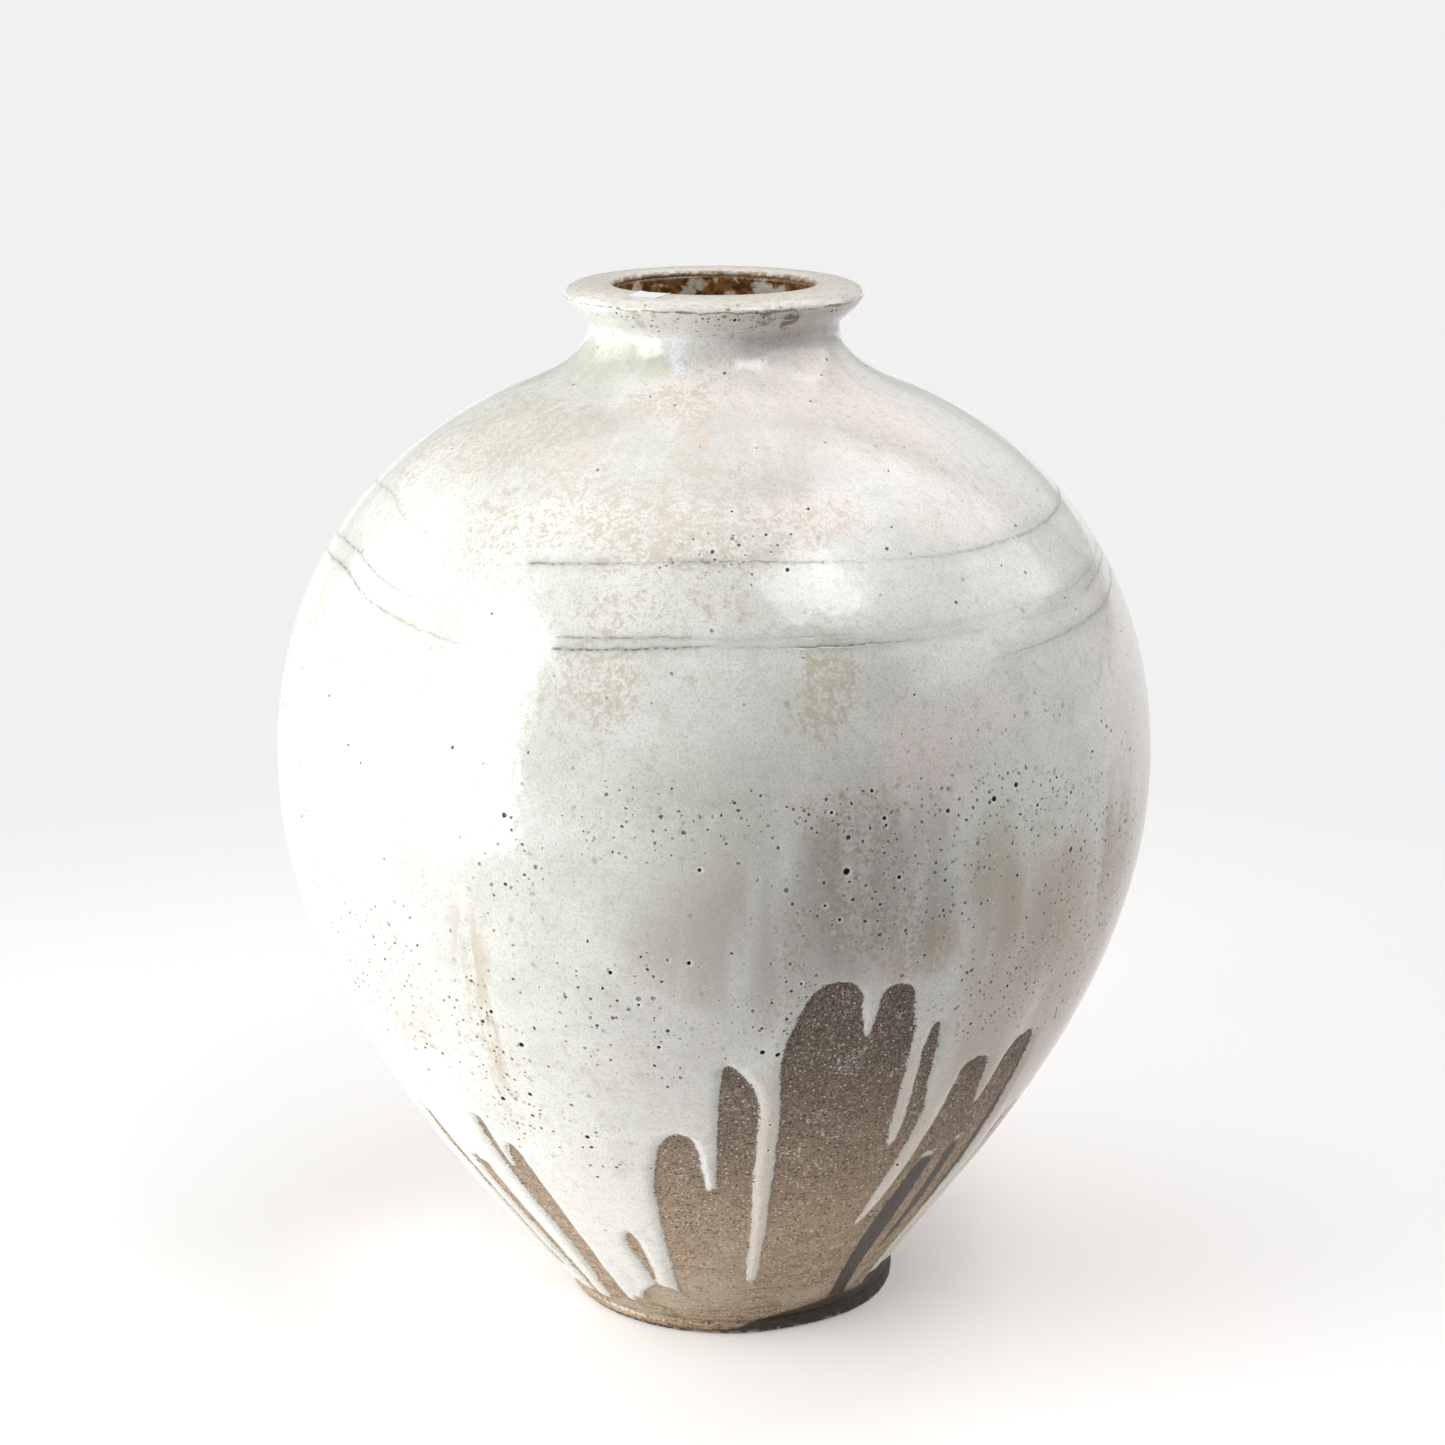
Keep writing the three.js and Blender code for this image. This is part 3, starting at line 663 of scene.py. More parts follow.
# %% Incised lines
# Each line: its stations (bearing, height, darkness)
INCISED_LINES = {
    "first": [
        (-180, 319, 0.5), (-120, 321, 0.6), (-90, 324, 0.5), (-75, 327, 0.4), (-68, 327, 0.4),
        (-58, 322.5, 0.35), (-50, 321, 0.2), (-42, 320, 0), (-29, 318, 0), (-28, 318, 0.95),
        (-20, 319, 0.7), (-10, 320.3, 0.35), (0, 321, 0.75), (6, 321, 0.6), (22, 319.5, 0.35),
        (34, 318.3, 0.4), (37, 318, 0.5), (60, 318.8, 0.5), (75, 320.5, 0.6), (85, 322, 0.7),
        (120, 320, 0.8), (180, 319, 0.5),
    ],
    "second": [
        (-180, 295, 0.6), (-120, 293, 0.7), (-82, 301, 0.6), (-70, 303, 0.7), (-65, 302, 0.7),
        (-55, 297, 0.6), (-45, 293.8, 0.5), (-36, 291.6, 0.4), (-27, 291.3, 0.35), (-25, 291.5, 0),
        (-21.5, 293.4, 0), (-20.5, 293.6, 1.3), (-10, 295, 1.4), (-4, 296, 1.2), (-2, 296.2, 0.5),
        (4, 296, 0.3), (10, 295.5, 0.5), (17, 295.2, 0.8), (22, 295, 0.5), (30, 294.5, 0.25),
        (60, 295, 0.2), (75, 299, 0.6), (90, 300, 0.5), (150, 296, 0.7), (180, 295, 0.6),
    ],
    "third": [
        (-180, 303, 0), (-120, 302, 0.6), (-86, 306, 0.5), (-75, 309, 0.6), (-66, 309, 0.6),
        (-55, 304.5, 0.5), (-45, 301.5, 0.3), (-38, 300, 0), (-21, 297.2, 0), (-20, 297.4, 0.8),
        (-12, 298.2, 0.6), (-5, 299, 0.5), (3, 298.5, 0.15), (14, 298.3, 0.3), (20, 298, 0.15),
        (60, 299, 0.25), (80, 303, 0.4), (100, 304, 0), (180, 303, 0),
    ],
    "fourth": [
        (-180, 285, 0), (-90, 263, 0), (-80, 265, 0.3), (-68, 267, 0.25), (-60, 266, 0), (0, 290, 0),
        (38, 285, 0), (45, 285.6, 0.5), (60, 287.5, 0.5), (70, 289.5, 0.6), (82, 293.5, 0.7),
        (110, 292, 0.6), (150, 288, 0.4), (180, 285, 0),
    ],
}
LINE_REACH = 12.0
for line, stations in INCISED_LINES.items():
    bearings, levels, darks = np.array(stations, dtype=float).T
    gap = coat_height - np.interp(coat_bearing, bearings, levels)
    dark = np.interp(coat_bearing, bearings, darks) * (coat_shown & (np.abs(gap) < LINE_REACH))
    mark(white_coat, f"{line}_line_gap", np.clip(gap, -LINE_REACH, LINE_REACH))
    mark(white_coat, f"{line}_line_dark", dark)
print("incised lines:", len(INCISED_LINES))

# %% [markdown]
# Streaks in a run glaze follow the way it flowed, straight down the wall. Noise on the jar's own
# coordinates would lean with the wall, so each vertex also keeps its place on the unrolled jar, wrapped
# round a cylinder so that the pattern has no seam at the back. The rim's worn corner and the mouth's edge
# get marks of their own.

# %% Unrolled coordinates and the rim
WRAP_RADIUS = 150.0
ARRIS_LIMITS = (-8, 25)
WORN_SIDES = [(50, 395, 60, 60, 1.0), (-170, 395, 50, 60, 0.6)]


def wrapped(bearing, along):
    """Places on the unrolled jar, wrapped round a cylinder."""
    turn = np.radians(bearing)
    return np.stack([WRAP_RADIUS * np.cos(turn), WRAP_RADIUS * np.sin(turn), along], axis=-1) * MM


mark_vector(white_coat, "unrolled", wrapped(coat_bearing, coat_along))
mark(white_coat, "from_arris", np.clip(coat_along - arc_at_arris, *ARRIS_LIMITS))
mark(white_coat, "worn_side", patchwork(WORN_SIDES, coat_bearing, coat_height))
mark(white_coat, "mouth", np.clip((coat_along - arc_at_crest) / (arc[-1] - arc_at_crest), 0, 1))
print(f"rim: {arc[-1] - arc_at_arris:.1f} mm from corner to lip")

# %% [markdown]
# ## The clay
# The lower wall and the base are bare where the glaze ran off. They are turned again, finer than in the
# frame, with the same seats: the slab's raised middle fills the foot of the wall, and the wall ends in a
# rebate for the next section. The outside carries the marks of scraping near the foot.

# %% Seats and thickness of the clay
CLAY_COLUMNS = 300
LAP, FLOOR_GAP = 6.0, 1.0
FOOT_WALL, BELLY_WALL = 11.0, 8.0
FLARE_TOP = 11.0
FOOT_FLARE = [(85, 0, 50, 40, 1.0)]
FINGER_TOPS = 190.0
INSIDE_ROWS = 24
spigot_radius = (slab_high[1] - FOOT_WALL * MM) / MM
wall_seat = foot_height + SLIP
arc_at_seat = arc_at_height(wall_seat)
arc_at_finger_tops = arc_at_height(FINGER_TOPS)


def flare(bearing, height):
    """On the right the foot was pressed out, and stands upright for a few millimetres more."""
    pressed = radius_at(FLARE_TOP) - radius_at(np.minimum(height, FLARE_TOP))
    return pressed * patchwork(FOOT_FLARE, bearing, height)


def inner_wall(along):
    thick = np.interp(along, [0, arc_at_belly], [FOOT_WALL, BELLY_WALL])
    return on_outline(along, -thick)


print(f"spigot: {spigot_radius:.1f} mm in radius, up to {base_top:.1f} mm")

# %% [markdown]
# The section of the wall goes up the outside, round the rebate and down the inside. Its rows lie close
# together where clay shows between the fingers, and far apart where glaze covers it. The scraper left
# shallow rings near the foot and the clay is grainy, so noise moves the points that can be seen in and out.

# %% Turn the lower wall
# Depth of the scraped rings, the height of one, how soon they fade up the wall, and the grain of the clay
SCRAPE_DEPTH, SCRAPE_RING, SCRAPE_FADE = 0.12, 1.8, 50
SCRAPE_STRETCH = [0.06, 0.06, 1]
GRAIN_DEPTH, GRAIN_SIZE = 0.10, 3.0
FINGER_ROWS, COVERED_ROWS = 116, 8
lower_rows = np.concatenate([
    np.linspace(arc_at_seat, arc_at_finger_tops, FINGER_ROWS),
    np.linspace(arc_at_finger_tops, arc_at_belly, COVERED_ROWS)[1:],
])
wall_section = []
for along in lower_rows:
    wall_section.append((*on_outline(along), along, 1.0))
rebate_radius = (belly_radius + inner_wall(arc_at_belly)[0]) / 2
wall_section.append((rebate_radius, belly_height, arc_at_belly, 0.0))
wall_section.append((rebate_radius, belly_height + LAP, arc_at_belly, 0.0))
wall_section.append((inner_wall(arc_at_belly)[0], belly_height + LAP, arc_at_belly, 0.0))
for along in np.linspace(arc_at_belly, arc_at_seat, INSIDE_ROWS):
    radius, height = inner_wall(along)
    if height > base_top + FLOOR_GAP:
        wall_section.append((radius, height, along, 0.0))
wall_section.append((spigot_radius + SLIP, base_top, arc_at_seat, 0.0))
wall_section.append((spigot_radius + SLIP, wall_seat, arc_at_seat, 0.0))
wall_bm = turned(wall_section, CLAY_COLUMNS)
wall_points = places(wall_bm)
wall_along = layer_values(wall_bm, "along")
wall_shown = layer_values(wall_bm, "shown") > 0.5
wall_bearing = spun_bearing(wall_points)
wall_height = wall_points[:, 2] / MM
scrape = SCRAPE_DEPTH * ripple(wall_points * SCRAPE_STRETCH, SCRAPE_RING) * np.exp(-wall_height / SCRAPE_FADE)
scrape += GRAIN_DEPTH * ripple(wall_points, GRAIN_SIZE) + flare(wall_bearing, wall_height)
put(wall_bm, wall_bearing, spun_radius(wall_points) + np.where(wall_shown, scrape, 0), wall_height)
clay_wall = finish_piece(wall_bm, "clay_wall")

# %% [markdown]
# The slab is what the jar stands on. Its edge is bevelled and chipped, as the feet of old jars are. A bevel
# modifier would make the edge alike all round, so the bevel is drawn in the section, and noise takes chips
# out of it.

# %% Turn the base slab
# The section runs from the middle of the underside round the bevelled foot to the raised middle
FOOT_BEVEL, FOOT_RING = 1.5, 12
# Roughness of the foot's edge, as depth and size, and chips out of it, as depth, size and where they start
ROUGH_FOOT, FINE_FOOT = (0.25, 5), (0.2, 2)
CHIP_DEPTH, CHIP_SIZE, CHIP_START = 0.8, 9, 0.35
CHIP_NOISE = [7, 0, 0]
slab_section = [(0.0, 0.0, 0.0, 0.0), (foot_radius - FOOT_RING, 0.0, 0.0, 0.0)]
for radius, height in [
    (foot_radius - FOOT_BEVEL - 1, 0.0), (foot_radius - FOOT_BEVEL, 0.15), (foot_radius - 0.5, 0.7),
    (foot_radius, FOOT_BEVEL), (foot_radius + 0.15, 2.8), (foot_radius, 4.2), (foot_radius + 0.1, wall_seat),
]:
    slab_section.append((radius, height, 0.0, 1.0))
for radius, height in [(spigot_radius, wall_seat), (spigot_radius, base_top), (0.0, base_top)]:
    slab_section.append((radius, height, 0.0, 0.0))
slab_bm = turned(slab_section, CLAY_COLUMNS)
slab_points = places(slab_bm)
slab_shown = layer_values(slab_bm, "shown") > 0.5
slab_bearing = spun_bearing(slab_points)
slab_height = slab_points[:, 2] / MM
rough_foot, fine_foot = (rough * ripple(slab_points, size) for rough, size in (ROUGH_FOOT, FINE_FOOT))
chips = rough_foot + fine_foot
chips -= CHIP_DEPTH * np.clip(ripple(slab_points + CHIP_NOISE, CHIP_SIZE) - CHIP_START, 0, 1)
chips += flare(slab_bearing, slab_height)
put(slab_bm, slab_bearing, spun_radius(slab_points) + np.where(slab_shown, chips, 0), slab_height)
clay_base = finish_piece(slab_bm, "clay_base")

# %% [markdown]
# On the right the clay carries dark slate streaks, and the foot a black band, where ash and smoke reached
# it. A rusty line and pale ash follow the foot. These use the same sketch of edges by height as the fingers
# do.

# %% Marks on the clay
# Streaks are given as fingers are, the band as bearing and height, and the rest as patches are
SLATE_STREAKS = [
    (4, [(8, 37.5, 46), (15, 37.3, 44.6), (25, 36.6, 43.4), (40, 35.8, 42.6), (60, 35.8, 42),
         (70, 36.4, 41.7), (80, 37.2, 41.6), (89, 37.6, 41.4)]),
    (4, [(34, 47, 48), (45, 46.4, 48.8), (60, 45.7, 48.8), (75, 45, 48), (92, 44.6, 47)]),
    (8, [(42, 54.4, 56), (60, 53, 56.4), (75, 52.4, 55.8), (95, 51.6, 55.4), (110, 51.4, 54),
         (130, 51.6, 53)]),
    (6, [(0, 54, 100), (8, 55.5, 96), (16, 57, 92), (22, 59, 84), (26, 61, 76)]),
]
FOOT_BAND = [
    (-180, 3), (-120, 5), (-90, 3), (-60, 1.5), (-40, 2.2), (-5, 2.6), (4, 3.4), (12, 6.5), (25, 10),
    (35, 11), (52, 10), (60, 9), (90, 9), (140, 6), (180, 3),
]
GLAZE_SCRAPS = [
    (39.4, 91, 2.4, 2.2, 1.0), (46, 94, 1.3, 1.8, 1.0), (15, 123, 3, 5, 0.6), (12, 106, 4, 4, 0.6),
    (18, 113, 3, 3, 0.5), (18, 148, 3, 9, 0.6), (29, 103, 1.2, 4, 0.6), (9, 24, 1.2, 5, 0.5),
    (-38, 4.6, 14, 1.6, 1.0), (-22, 4.2, 10, 1.2, 0.7),
]
ASH_PATCHES = [
    (26, 18, 12, 5, 0.9), (-33, 7, 14, 4, 0.8), (-6, 26, 15, 15, 0.8), (4, 48, 9, 18, 0.4),
    (-14, 20, 9, 9, 0.9), (47, 18, 3, 7, 1.0), (56, 17, 3, 8, 1.0), (120, 15, 30, 5, 0.6),
    (-110, 12, 30, 5, 0.6),
]
RUST_PATCHES = [(-16, 4, 24, 12, 1.0), (40, 12, 30, 14, 0.5), (-120, 6, 40, 12, 0.8), (150, 8, 30, 12, 0.8)]
FAR_FROM_STREAK = -20.0


def mark_clay(piece, bearing, height):
    slate = np.full(len(bearing), FAR_FROM_STREAK)
    for streak in SLATE_STREAKS:
        slate = np.maximum(slate, inside_finger(streak, bearing, height))
    band = np.interp(bearing, *np.array(FOOT_BAND, dtype=float).T)
    mark(piece, "slate", np.maximum(slate, band - height))
    mark(piece, "ash", patchwork(ASH_PATCHES, bearing, height))
    mark(piece, "scraps", patchwork(GLAZE_SCRAPS, bearing, height))
    mark(piece, "above_band", height - band)
    mark(piece, "rust", patchwork(RUST_PATCHES, bearing, height))


mark_clay(clay_wall, wall_bearing, wall_height)
mark_clay(clay_base, slab_bearing, slab_height)
mark_vector(clay_wall, "unrolled", wrapped(wall_bearing, wall_along))
mark_vector(clay_base, "unrolled", wrapped(slab_bearing, slab_height - foot_height))
print("slate streaks:", len(SLATE_STREAKS))

# %% [markdown]
# ## The liner
# Inside, a dark brown glaze was swilled round and poured out, and drops of the white one splashed down the
# bore. The liner is one more turned skin, from the lip to the floor of the jar, and its ripples are left to
# the finish.

# %% Path of the inside
SHOULDER_WALL = 8.5
BORE_DEPTH, BORE_ROWS = 24.0, 16
LIP_SEAM = 0.05
bore_foot = (mouth_radius, lip_height - BORE_DEPTH)
root_inside = on_outline(arc_at_root, -SHOULDER_WALL)
neck_knots = [root_inside, lean(*root_inside, NECK_LEAN, ROOT_PULL),
              (mouth_radius, bore_foot[1] - WAIST_PULL_DOWN), bore_foot]
inside_path = [(0.0, base_top)]
for along in np.linspace(arc_at_seat, arc_at_belly, INSIDE_ROWS):
    if inner_wall(along)[1] > base_top + FLOOR_GAP:
        inside_path.append(inner_wall(along))
for along in np.linspace(arc_at_belly, arc_at_root, INSIDE_ROWS)[1:-1]:
    thick = np.interp(along, [arc_at_belly, arc_at_root], [BELLY_WALL, SHOULDER_WALL])
    inside_path.append(on_outline(along, -thick))
inside_path += bezier(neck_knots, BORE_ROWS)
bore_rows = np.linspace(bore_foot[1], lip_height - LIP_SEAM, BORE_ROWS)
inside_path += [(mouth_radius, height) for height in bore_rows[1:]]
inside_path = np.array(inside_path, dtype=float)
inside_arc = lengths_along(inside_path)
inside_tangent = np.gradient(inside_path, axis=0)
inside_tangent /= np.linalg.norm(inside_tangent, axis=1)[:, None]
inside_tangent[0] = (1, 0)
inside_normal = np.stack([-inside_tangent[:, 1], inside_tangent[:, 0]], axis=-1)
print(f"inside: {inside_arc[-1]:.0f} mm from the middle of the floor to the lip")

# %% [markdown]
# The path of the inside is used twice, once for the face of the glaze and once a little behind it, so that
# the liner is a closed skin with a thickness. A solidify modifier could make the second face, but drawn in
# the section it needs no modifier.

# %% Turn the liner
LINER_COLUMNS = 192
LINER_BACK, LINER_FACE = 0.3, 1.0
liner_section = []
for point, normal, along in zip(inside_path, inside_normal, inside_arc):
    liner_section.append((*(point + LINER_FACE * normal), along, 1.0))
for point, normal, along in list(zip(inside_path, inside_normal, inside_arc))[::-1]:
    liner_section.append((*(point + LINER_BACK * normal), along, 0.0))
liner_bm = turned(liner_section, LINER_COLUMNS)
liner_points = places(liner_bm)
liner_bearing = spun_bearing(liner_points)
liner_height = liner_points[:, 2] / MM
put(liner_bm, liner_bearing, spun_radius(liner_points), liner_height)
brown_liner = finish_piece(liner_bm, "brown_liner")

# %% [markdown]
# Drops of white glaze ran into the mouth when the jar was covered. They are soft ovals, like the tints on
# the coat, and a band at the lip marks where the brown breaks to orange.

# %% Splashes in the bore
LIP_BAND = 4
# Each splash is given as a patch is
SPLASHES = [
    (-128, 393, 6, 4, 0.95), (-170, 394, 8, 2.5, 1.0), (-164, 391, 6, 2.5, 1.0),
    (178, 395.5, 2.5, 1.6, 0.9), (167, 396.5, 2.5, 1.6, 0.9), (150, 393, 9, 3, 1.05),
    (138, 391, 9, 4, 1.1), (170, 390.5, 5, 2, 0.9), (-146, 394, 7, 1.5, 0.7), (20, 392, 12, 5, 0.8),
    (-60, 390, 14, 6, 0.7), (80, 392, 12, 5, 0.8),
]
mark(brown_liner, "splash", patchwork(SPLASHES, liner_bearing, liner_height))
mark(brown_liner, "lip", np.clip(1 - (lip_height - liner_height) / LIP_BAND, 0, 1))
print("splashes:", len(SPLASHES))

# %% [markdown]
# ## The label
# A small piece of blank white paper is stuck on the rim. A flat card would stand off the curved rim, so a
# fine grid is laid down on the glaze vertex by vertex, with its corners a little lifted, and then given the
# paper's thickness.

# %% Lay the label on the rim
LABEL_LENGTH, LABEL_DEPTH, LABEL_THICKNESS = 12.5, 9.0, 0.2
label_low, label_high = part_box("rim_label")
label_middle = Vector((label_low[0] + label_high[0], label_low[1] + label_high[1], 0)) / 2
label_bearing = math.atan2(label_middle.x, -label_middle.y)
LABEL_LIFT, CORNER_LIFT = 0.25, 0.3
LABEL_COLUMNS, LABEL_ROWS, RIM_STEPS = 24, 12, 80
rim_arc = np.linspace(arc_at_arris, arc[-1], RIM_STEPS)
rim_radius_line, rim_height_line = on_outline(rim_arc, GLAZE_THICKNESS)
label_bm = bmesh.new()
bmesh.ops.create_grid(label_bm, x_segments=LABEL_COLUMNS, y_segments=LABEL_ROWS, size=0.5)
bmesh.ops.scale(label_bm, verts=label_bm.verts, vec=(LABEL_LENGTH * MM, LABEL_DEPTH * MM, 1))
for vert in label_bm.verts:
    across = 2 * abs(vert.co.x) / (LABEL_LENGTH * MM)
    deep = 2 * abs(vert.co.y) / (LABEL_DEPTH * MM)
    corner = across ** 6 * deep ** 2
    vert.co = Matrix.Rotation(label_bearing, 3, "Z") @ vert.co + label_middle
    radius = math.hypot(vert.co.x, vert.co.y) / MM
    rim_height = np.interp(-radius, -rim_radius_line, rim_height_line)
    vert.co.z = (rim_height + LABEL_LIFT + CORNER_LIFT * corner) * MM
bmesh.ops.solidify(label_bm, geom=label_bm.faces[:], thickness=LABEL_THICKNESS * MM)
bmesh.ops.recalc_face_normals(label_bm, faces=label_bm.faces)
rim_paper = finish_piece(label_bm, "rim_paper")

# %% [markdown]
# ## Finishes
# Every finish below is built from noise in real sizes, so one function adds a node with its settings and
# links, and gives back the socket that the next node reads. A value that is a socket is linked, and
# anything else is set on the node. Colours are the hex values that a screen shows, turned to the linear
# values that light is reckoned in.

# %% Add a node
NOISE, CELLS, MARK = "ShaderNodeTexNoise", "ShaderNodeTexVoronoi", "ShaderNodeAttribute"
MATH, PLACE, STRETCH = "ShaderNodeMath", "ShaderNodeTexCoord", "ShaderNodeMapping"


def linear(hex_colour):
    channels = [int(hex_colour[i:i + 2], 16) / 255 for i in (1, 3, 5)]
    return (*[c / 12.92 if c <= 0.04045 else ((c + 0.055) / 1.055) ** 2.4 for c in channels], 1.0)


def per(size_mm):
    """Noise scale for features of a size in millimetres, on coordinates in metres."""
    return 1 / (size_mm * MM)


def add(tree, kind, inputs=None, out=0, **settings):
    node = tree.nodes.new(kind)
    for name, value in settings.items():
        setattr(node, name, value)
    for socket, value in (inputs or {}).items():
        if isinstance(value, bpy.types.NodeSocket):
            tree.links.new(value, node.inputs[socket])
        else:
            node.inputs[socket].default_value = value
    return node.outputs[out]


print(f"middle grey is {linear('#808080')[0]:.3f} in linear light")

# %% [markdown]
# A fired surface is built up in layers, as a painter lays glazes. Each layer can have a colour, a roughness
# and a relief in millimetres, and it shows where all of its masks let it through. So a finish is kept as
# those three, one function lays the next layer over it, and another hands the result to the shader.


# %% Lay one layer over another
RELIEF_UNIT = 1.0 * MM


def new_finish(name):
    material = bpy.data.materials.new(name)
    material.use_nodes = True
    tree = material.node_tree
    return material, tree, tree.nodes["Principled BSDF"]


def lay(tree, finish, most, *masks, **layer):
    """Lays a layer. A mask is a socket, its level where nothing shows and its level where all does."""
    amount = most
    for source, none, full in masks:
        amount = add(tree, "ShaderNodeMapRange", {0: source, 1: none, 2: full, 4: amount},
                     interpolation_type="SMOOTHSTEP")
    for quality, over in layer.items():
        kind, under_input, result = ("RGBA", 6, 2) if quality == "colour" else ("FLOAT", 2, 0)
        over = linear(over) if isinstance(over, str) else over
        finish[quality] = add(
            tree, "ShaderNodeMix", {0: amount, under_input: finish[quality], under_input + 1: over},
            out=result, data_type=kind)


def fire(tree, shader, finish, ior):
    """Hands a finish to the shader."""
    normal = add(tree, "ShaderNodeBump",
                 {"Height": finish["relief"], "Strength": 1.0, "Distance": RELIEF_UNIT})
    results = {"Base Color": finish["colour"], "Roughness": finish["rough"], "Normal": normal}
    for quality, socket in results.items():
        tree.links.new(socket, shader.inputs[quality])
    shader.inputs["IOR"].default_value = ior


print(f"relief is counted in steps of {RELIEF_UNIT / MM} mm")

# %% [markdown]
# Stoneware clay, scraped and fired without glaze. To the eye it is a dry grey-brown, warmer towards the
# foot, full of pale feldspar grit and dark iron specks that crowd together in places. The same ground shows
# through the ragged end of the glaze, so it is a function of its own.

# %% Ground of the clay
# Each cloud of noise: the size of its features in millimetres, and its detail
CLAY_CLOUDS = {
    "dust": (0.8, 2.0), "iron": (1.1, 2.0), "grit": (2.0, 4.0),
    "patches": (6, 4.0), "drifts": (13, 3.0), "broad": (25, 3.0),
}


def clay_ground(tree, position):
    cloud = {
        name: add(tree, NOISE, {"Vector": position, "Scale": per(size), "Detail": detail, "Roughness": 0.65})
        for name, (size, detail) in CLAY_CLOUDS.items()
    }
    height = add(tree, "ShaderNodeSeparateXYZ", {0: position}, out="Z")
    level = add(tree, MATH, {0: cloud["broad"], 1: 0.06, 2: height}, operation="MULTIPLY_ADD")
    relief = add(tree, MATH, {0: cloud["dust"], 1: 0.3}, operation="MULTIPLY")
    relief = add(tree, MATH, {0: cloud["patches"], 1: 0.4, 2: relief}, operation="MULTIPLY_ADD")
    clay = {"colour": linear("#6d5f54"), "rough": 0.85, "relief": relief}
    lay(tree, clay, 1.0, (level, 0.19, 0.06), colour="#b39b80")
    lay(tree, clay, 0.4, (cloud["patches"], 0.42, 0.68), colour="#645448")
    lay(tree, clay, 0.65, (cloud["dust"], 0.50, 0.66), colour="#bdb09d")
    lay(tree, clay, 0.8, (cloud["iron"], 0.54, 0.64), colour="#3a3028")
    lay(tree, clay, 0.7, (cloud["grit"], 0.54, 0.64), (cloud["drifts"], 0.42, 0.62), colour="#c6bbab")
    return clay


print("clouds in the clay:", ", ".join(CLAY_CLOUDS))

# %% [markdown]
# Single feldspar grains stand out as pale dots. Near the foot the scraper left fine rings, ash settled in
# pale smears, smoke fumed slate streaks, and a rusty line follows the black band at the foot. A pale dashed
# line along the foot's bottom edge is a painted reflection of the floor.

# %% Bare clay
GRAIN_CELL, GRAIN_SHARE = 2.0, 0.5


def bare_clay():
    material, tree, shader = new_finish("stoneware_clay_scraped")
    position = add(tree, PLACE, out="Object")
    unrolled = add(tree, MARK, out="Vector", attribute_name="unrolled")
    slate, ash, scraps, above_band, rust = (
        add(tree, MARK, out="Fac", attribute_name=name)
        for name in ("slate", "ash", "scraps", "above_band", "rust"))
    along_ring = add(tree, STRETCH, {"Vector": unrolled, "Scale": (0.05, 0.05, 1)})
    down_wall = add(tree, STRETCH, {"Vector": unrolled, "Scale": (1, 1, 0.12)})
    rings, smears, ragged, flaked = (
        add(tree, NOISE, {"Vector": space, "Scale": per(size), "Detail": 3.0})
        for space, size in ((along_ring, 1.1), (down_wall, 2.5), (position, 3), (position, 1.3)))
    clay = clay_ground(tree, position)
    height = add(tree, "ShaderNodeSeparateXYZ", {0: position}, out="Z")
    lay(tree, clay, 0.45, (rings, 0.5, 0.66), (height, 0.08, 0.015), colour="#57473a", relief=0.1)
    lay(tree, clay, 0.4, (rings, 0.46, 0.3), (height, 0.06, 0.01), colour="#bcae98")
    lay(tree, clay, 0.85, (ash, 0.0, 1.0), (ragged, 0.28, 0.6), colour="#b8ad9a")

    grains = add(tree, CELLS, {"Vector": position, "Scale": per(GRAIN_CELL)}, out="Distance")
    chance = add(tree, "ShaderNodeSeparateColor", {0: grains.node.outputs["Color"]})
    chosen = add(tree, MATH, {0: chance, 1: GRAIN_SHARE}, operation="LESS_THAN")
    lay(tree, clay, 0.9, (grains, 0.26, 0.17), (chosen, 0.0, 1.0), colour="#d8cebf", relief=0.3)
    flakes = add(tree, MATH, {0: scraps, 1: 0.5, 2: flaked}, operation="MULTIPLY_ADD")
    lay(tree, clay, 0.85, (flakes, 0.80, 0.94), colour="#cfcdc3", rough=0.4)

    frayed = add(tree, MATH, {0: ragged, 1: 2.4, 2: slate}, operation="MULTIPLY_ADD")
    fumed = {"colour": linear("#272322")}
    lay(tree, fumed, 0.8, (ragged, 0.42, 0.7), colour="#3b3634")
    lay(tree, fumed, 0.5, (smears, 0.45, 0.7), (height, 0.012, 0.03), colour="#4d4947")
    lay(tree, clay, 0.92, (frayed, 0.6, 1.9), colour=fumed["colour"], rough=0.5)
    # A pale dashed line a millimetre or two above the floor: a painted reflection of the floor in the foot's
    # bevel
    lay(tree, clay, 0.6, (height, 0.0002, 0.0009), (height, 0.0024, 0.0013), (ragged, 0.5, 0.6),
        colour="#b3a48e")
    line = add(tree, MATH, {0: ragged, 1: 2.0, 2: above_band}, operation="MULTIPLY_ADD")
    lay(tree, clay, 0.75, (line, 0.9, 1.3), (line, 2.7, 1.9), (rust, 0.0, 1.0), (flaked, 0.42, 0.56),
        colour="#ab783c")
    fire(tree, shader, clay, 1.45)
    return material


clay_finish = bare_clay()
print(f"{clay_finish.name}: {len(clay_finish.node_tree.nodes)} nodes")

# %% [markdown]
# Feldspar glaze, poured and fired glossy. To the eye it is a warm white, softly mottled and finely grained,
# with stains of pink, sage and smoke that follow the way it ran, and beige flecks where it lies thin. Some
# stains are painted light and shade: the smoke is partly painted shade, a whiter stain and the pale pink
# lift places in shade, and a grey one is painted shade. The surface is very slightly pebbled, which softens
# its reflections.

# %% White glaze: stains, flecks and streaks
GLAZE_CLOUDS = {
    "broad": (24, 3.0), "swell": (9, 2.0), "patchy": (3.8, 5.0), "fine": (1.4, 4.0), "grain": (0.8, 2.0),
}
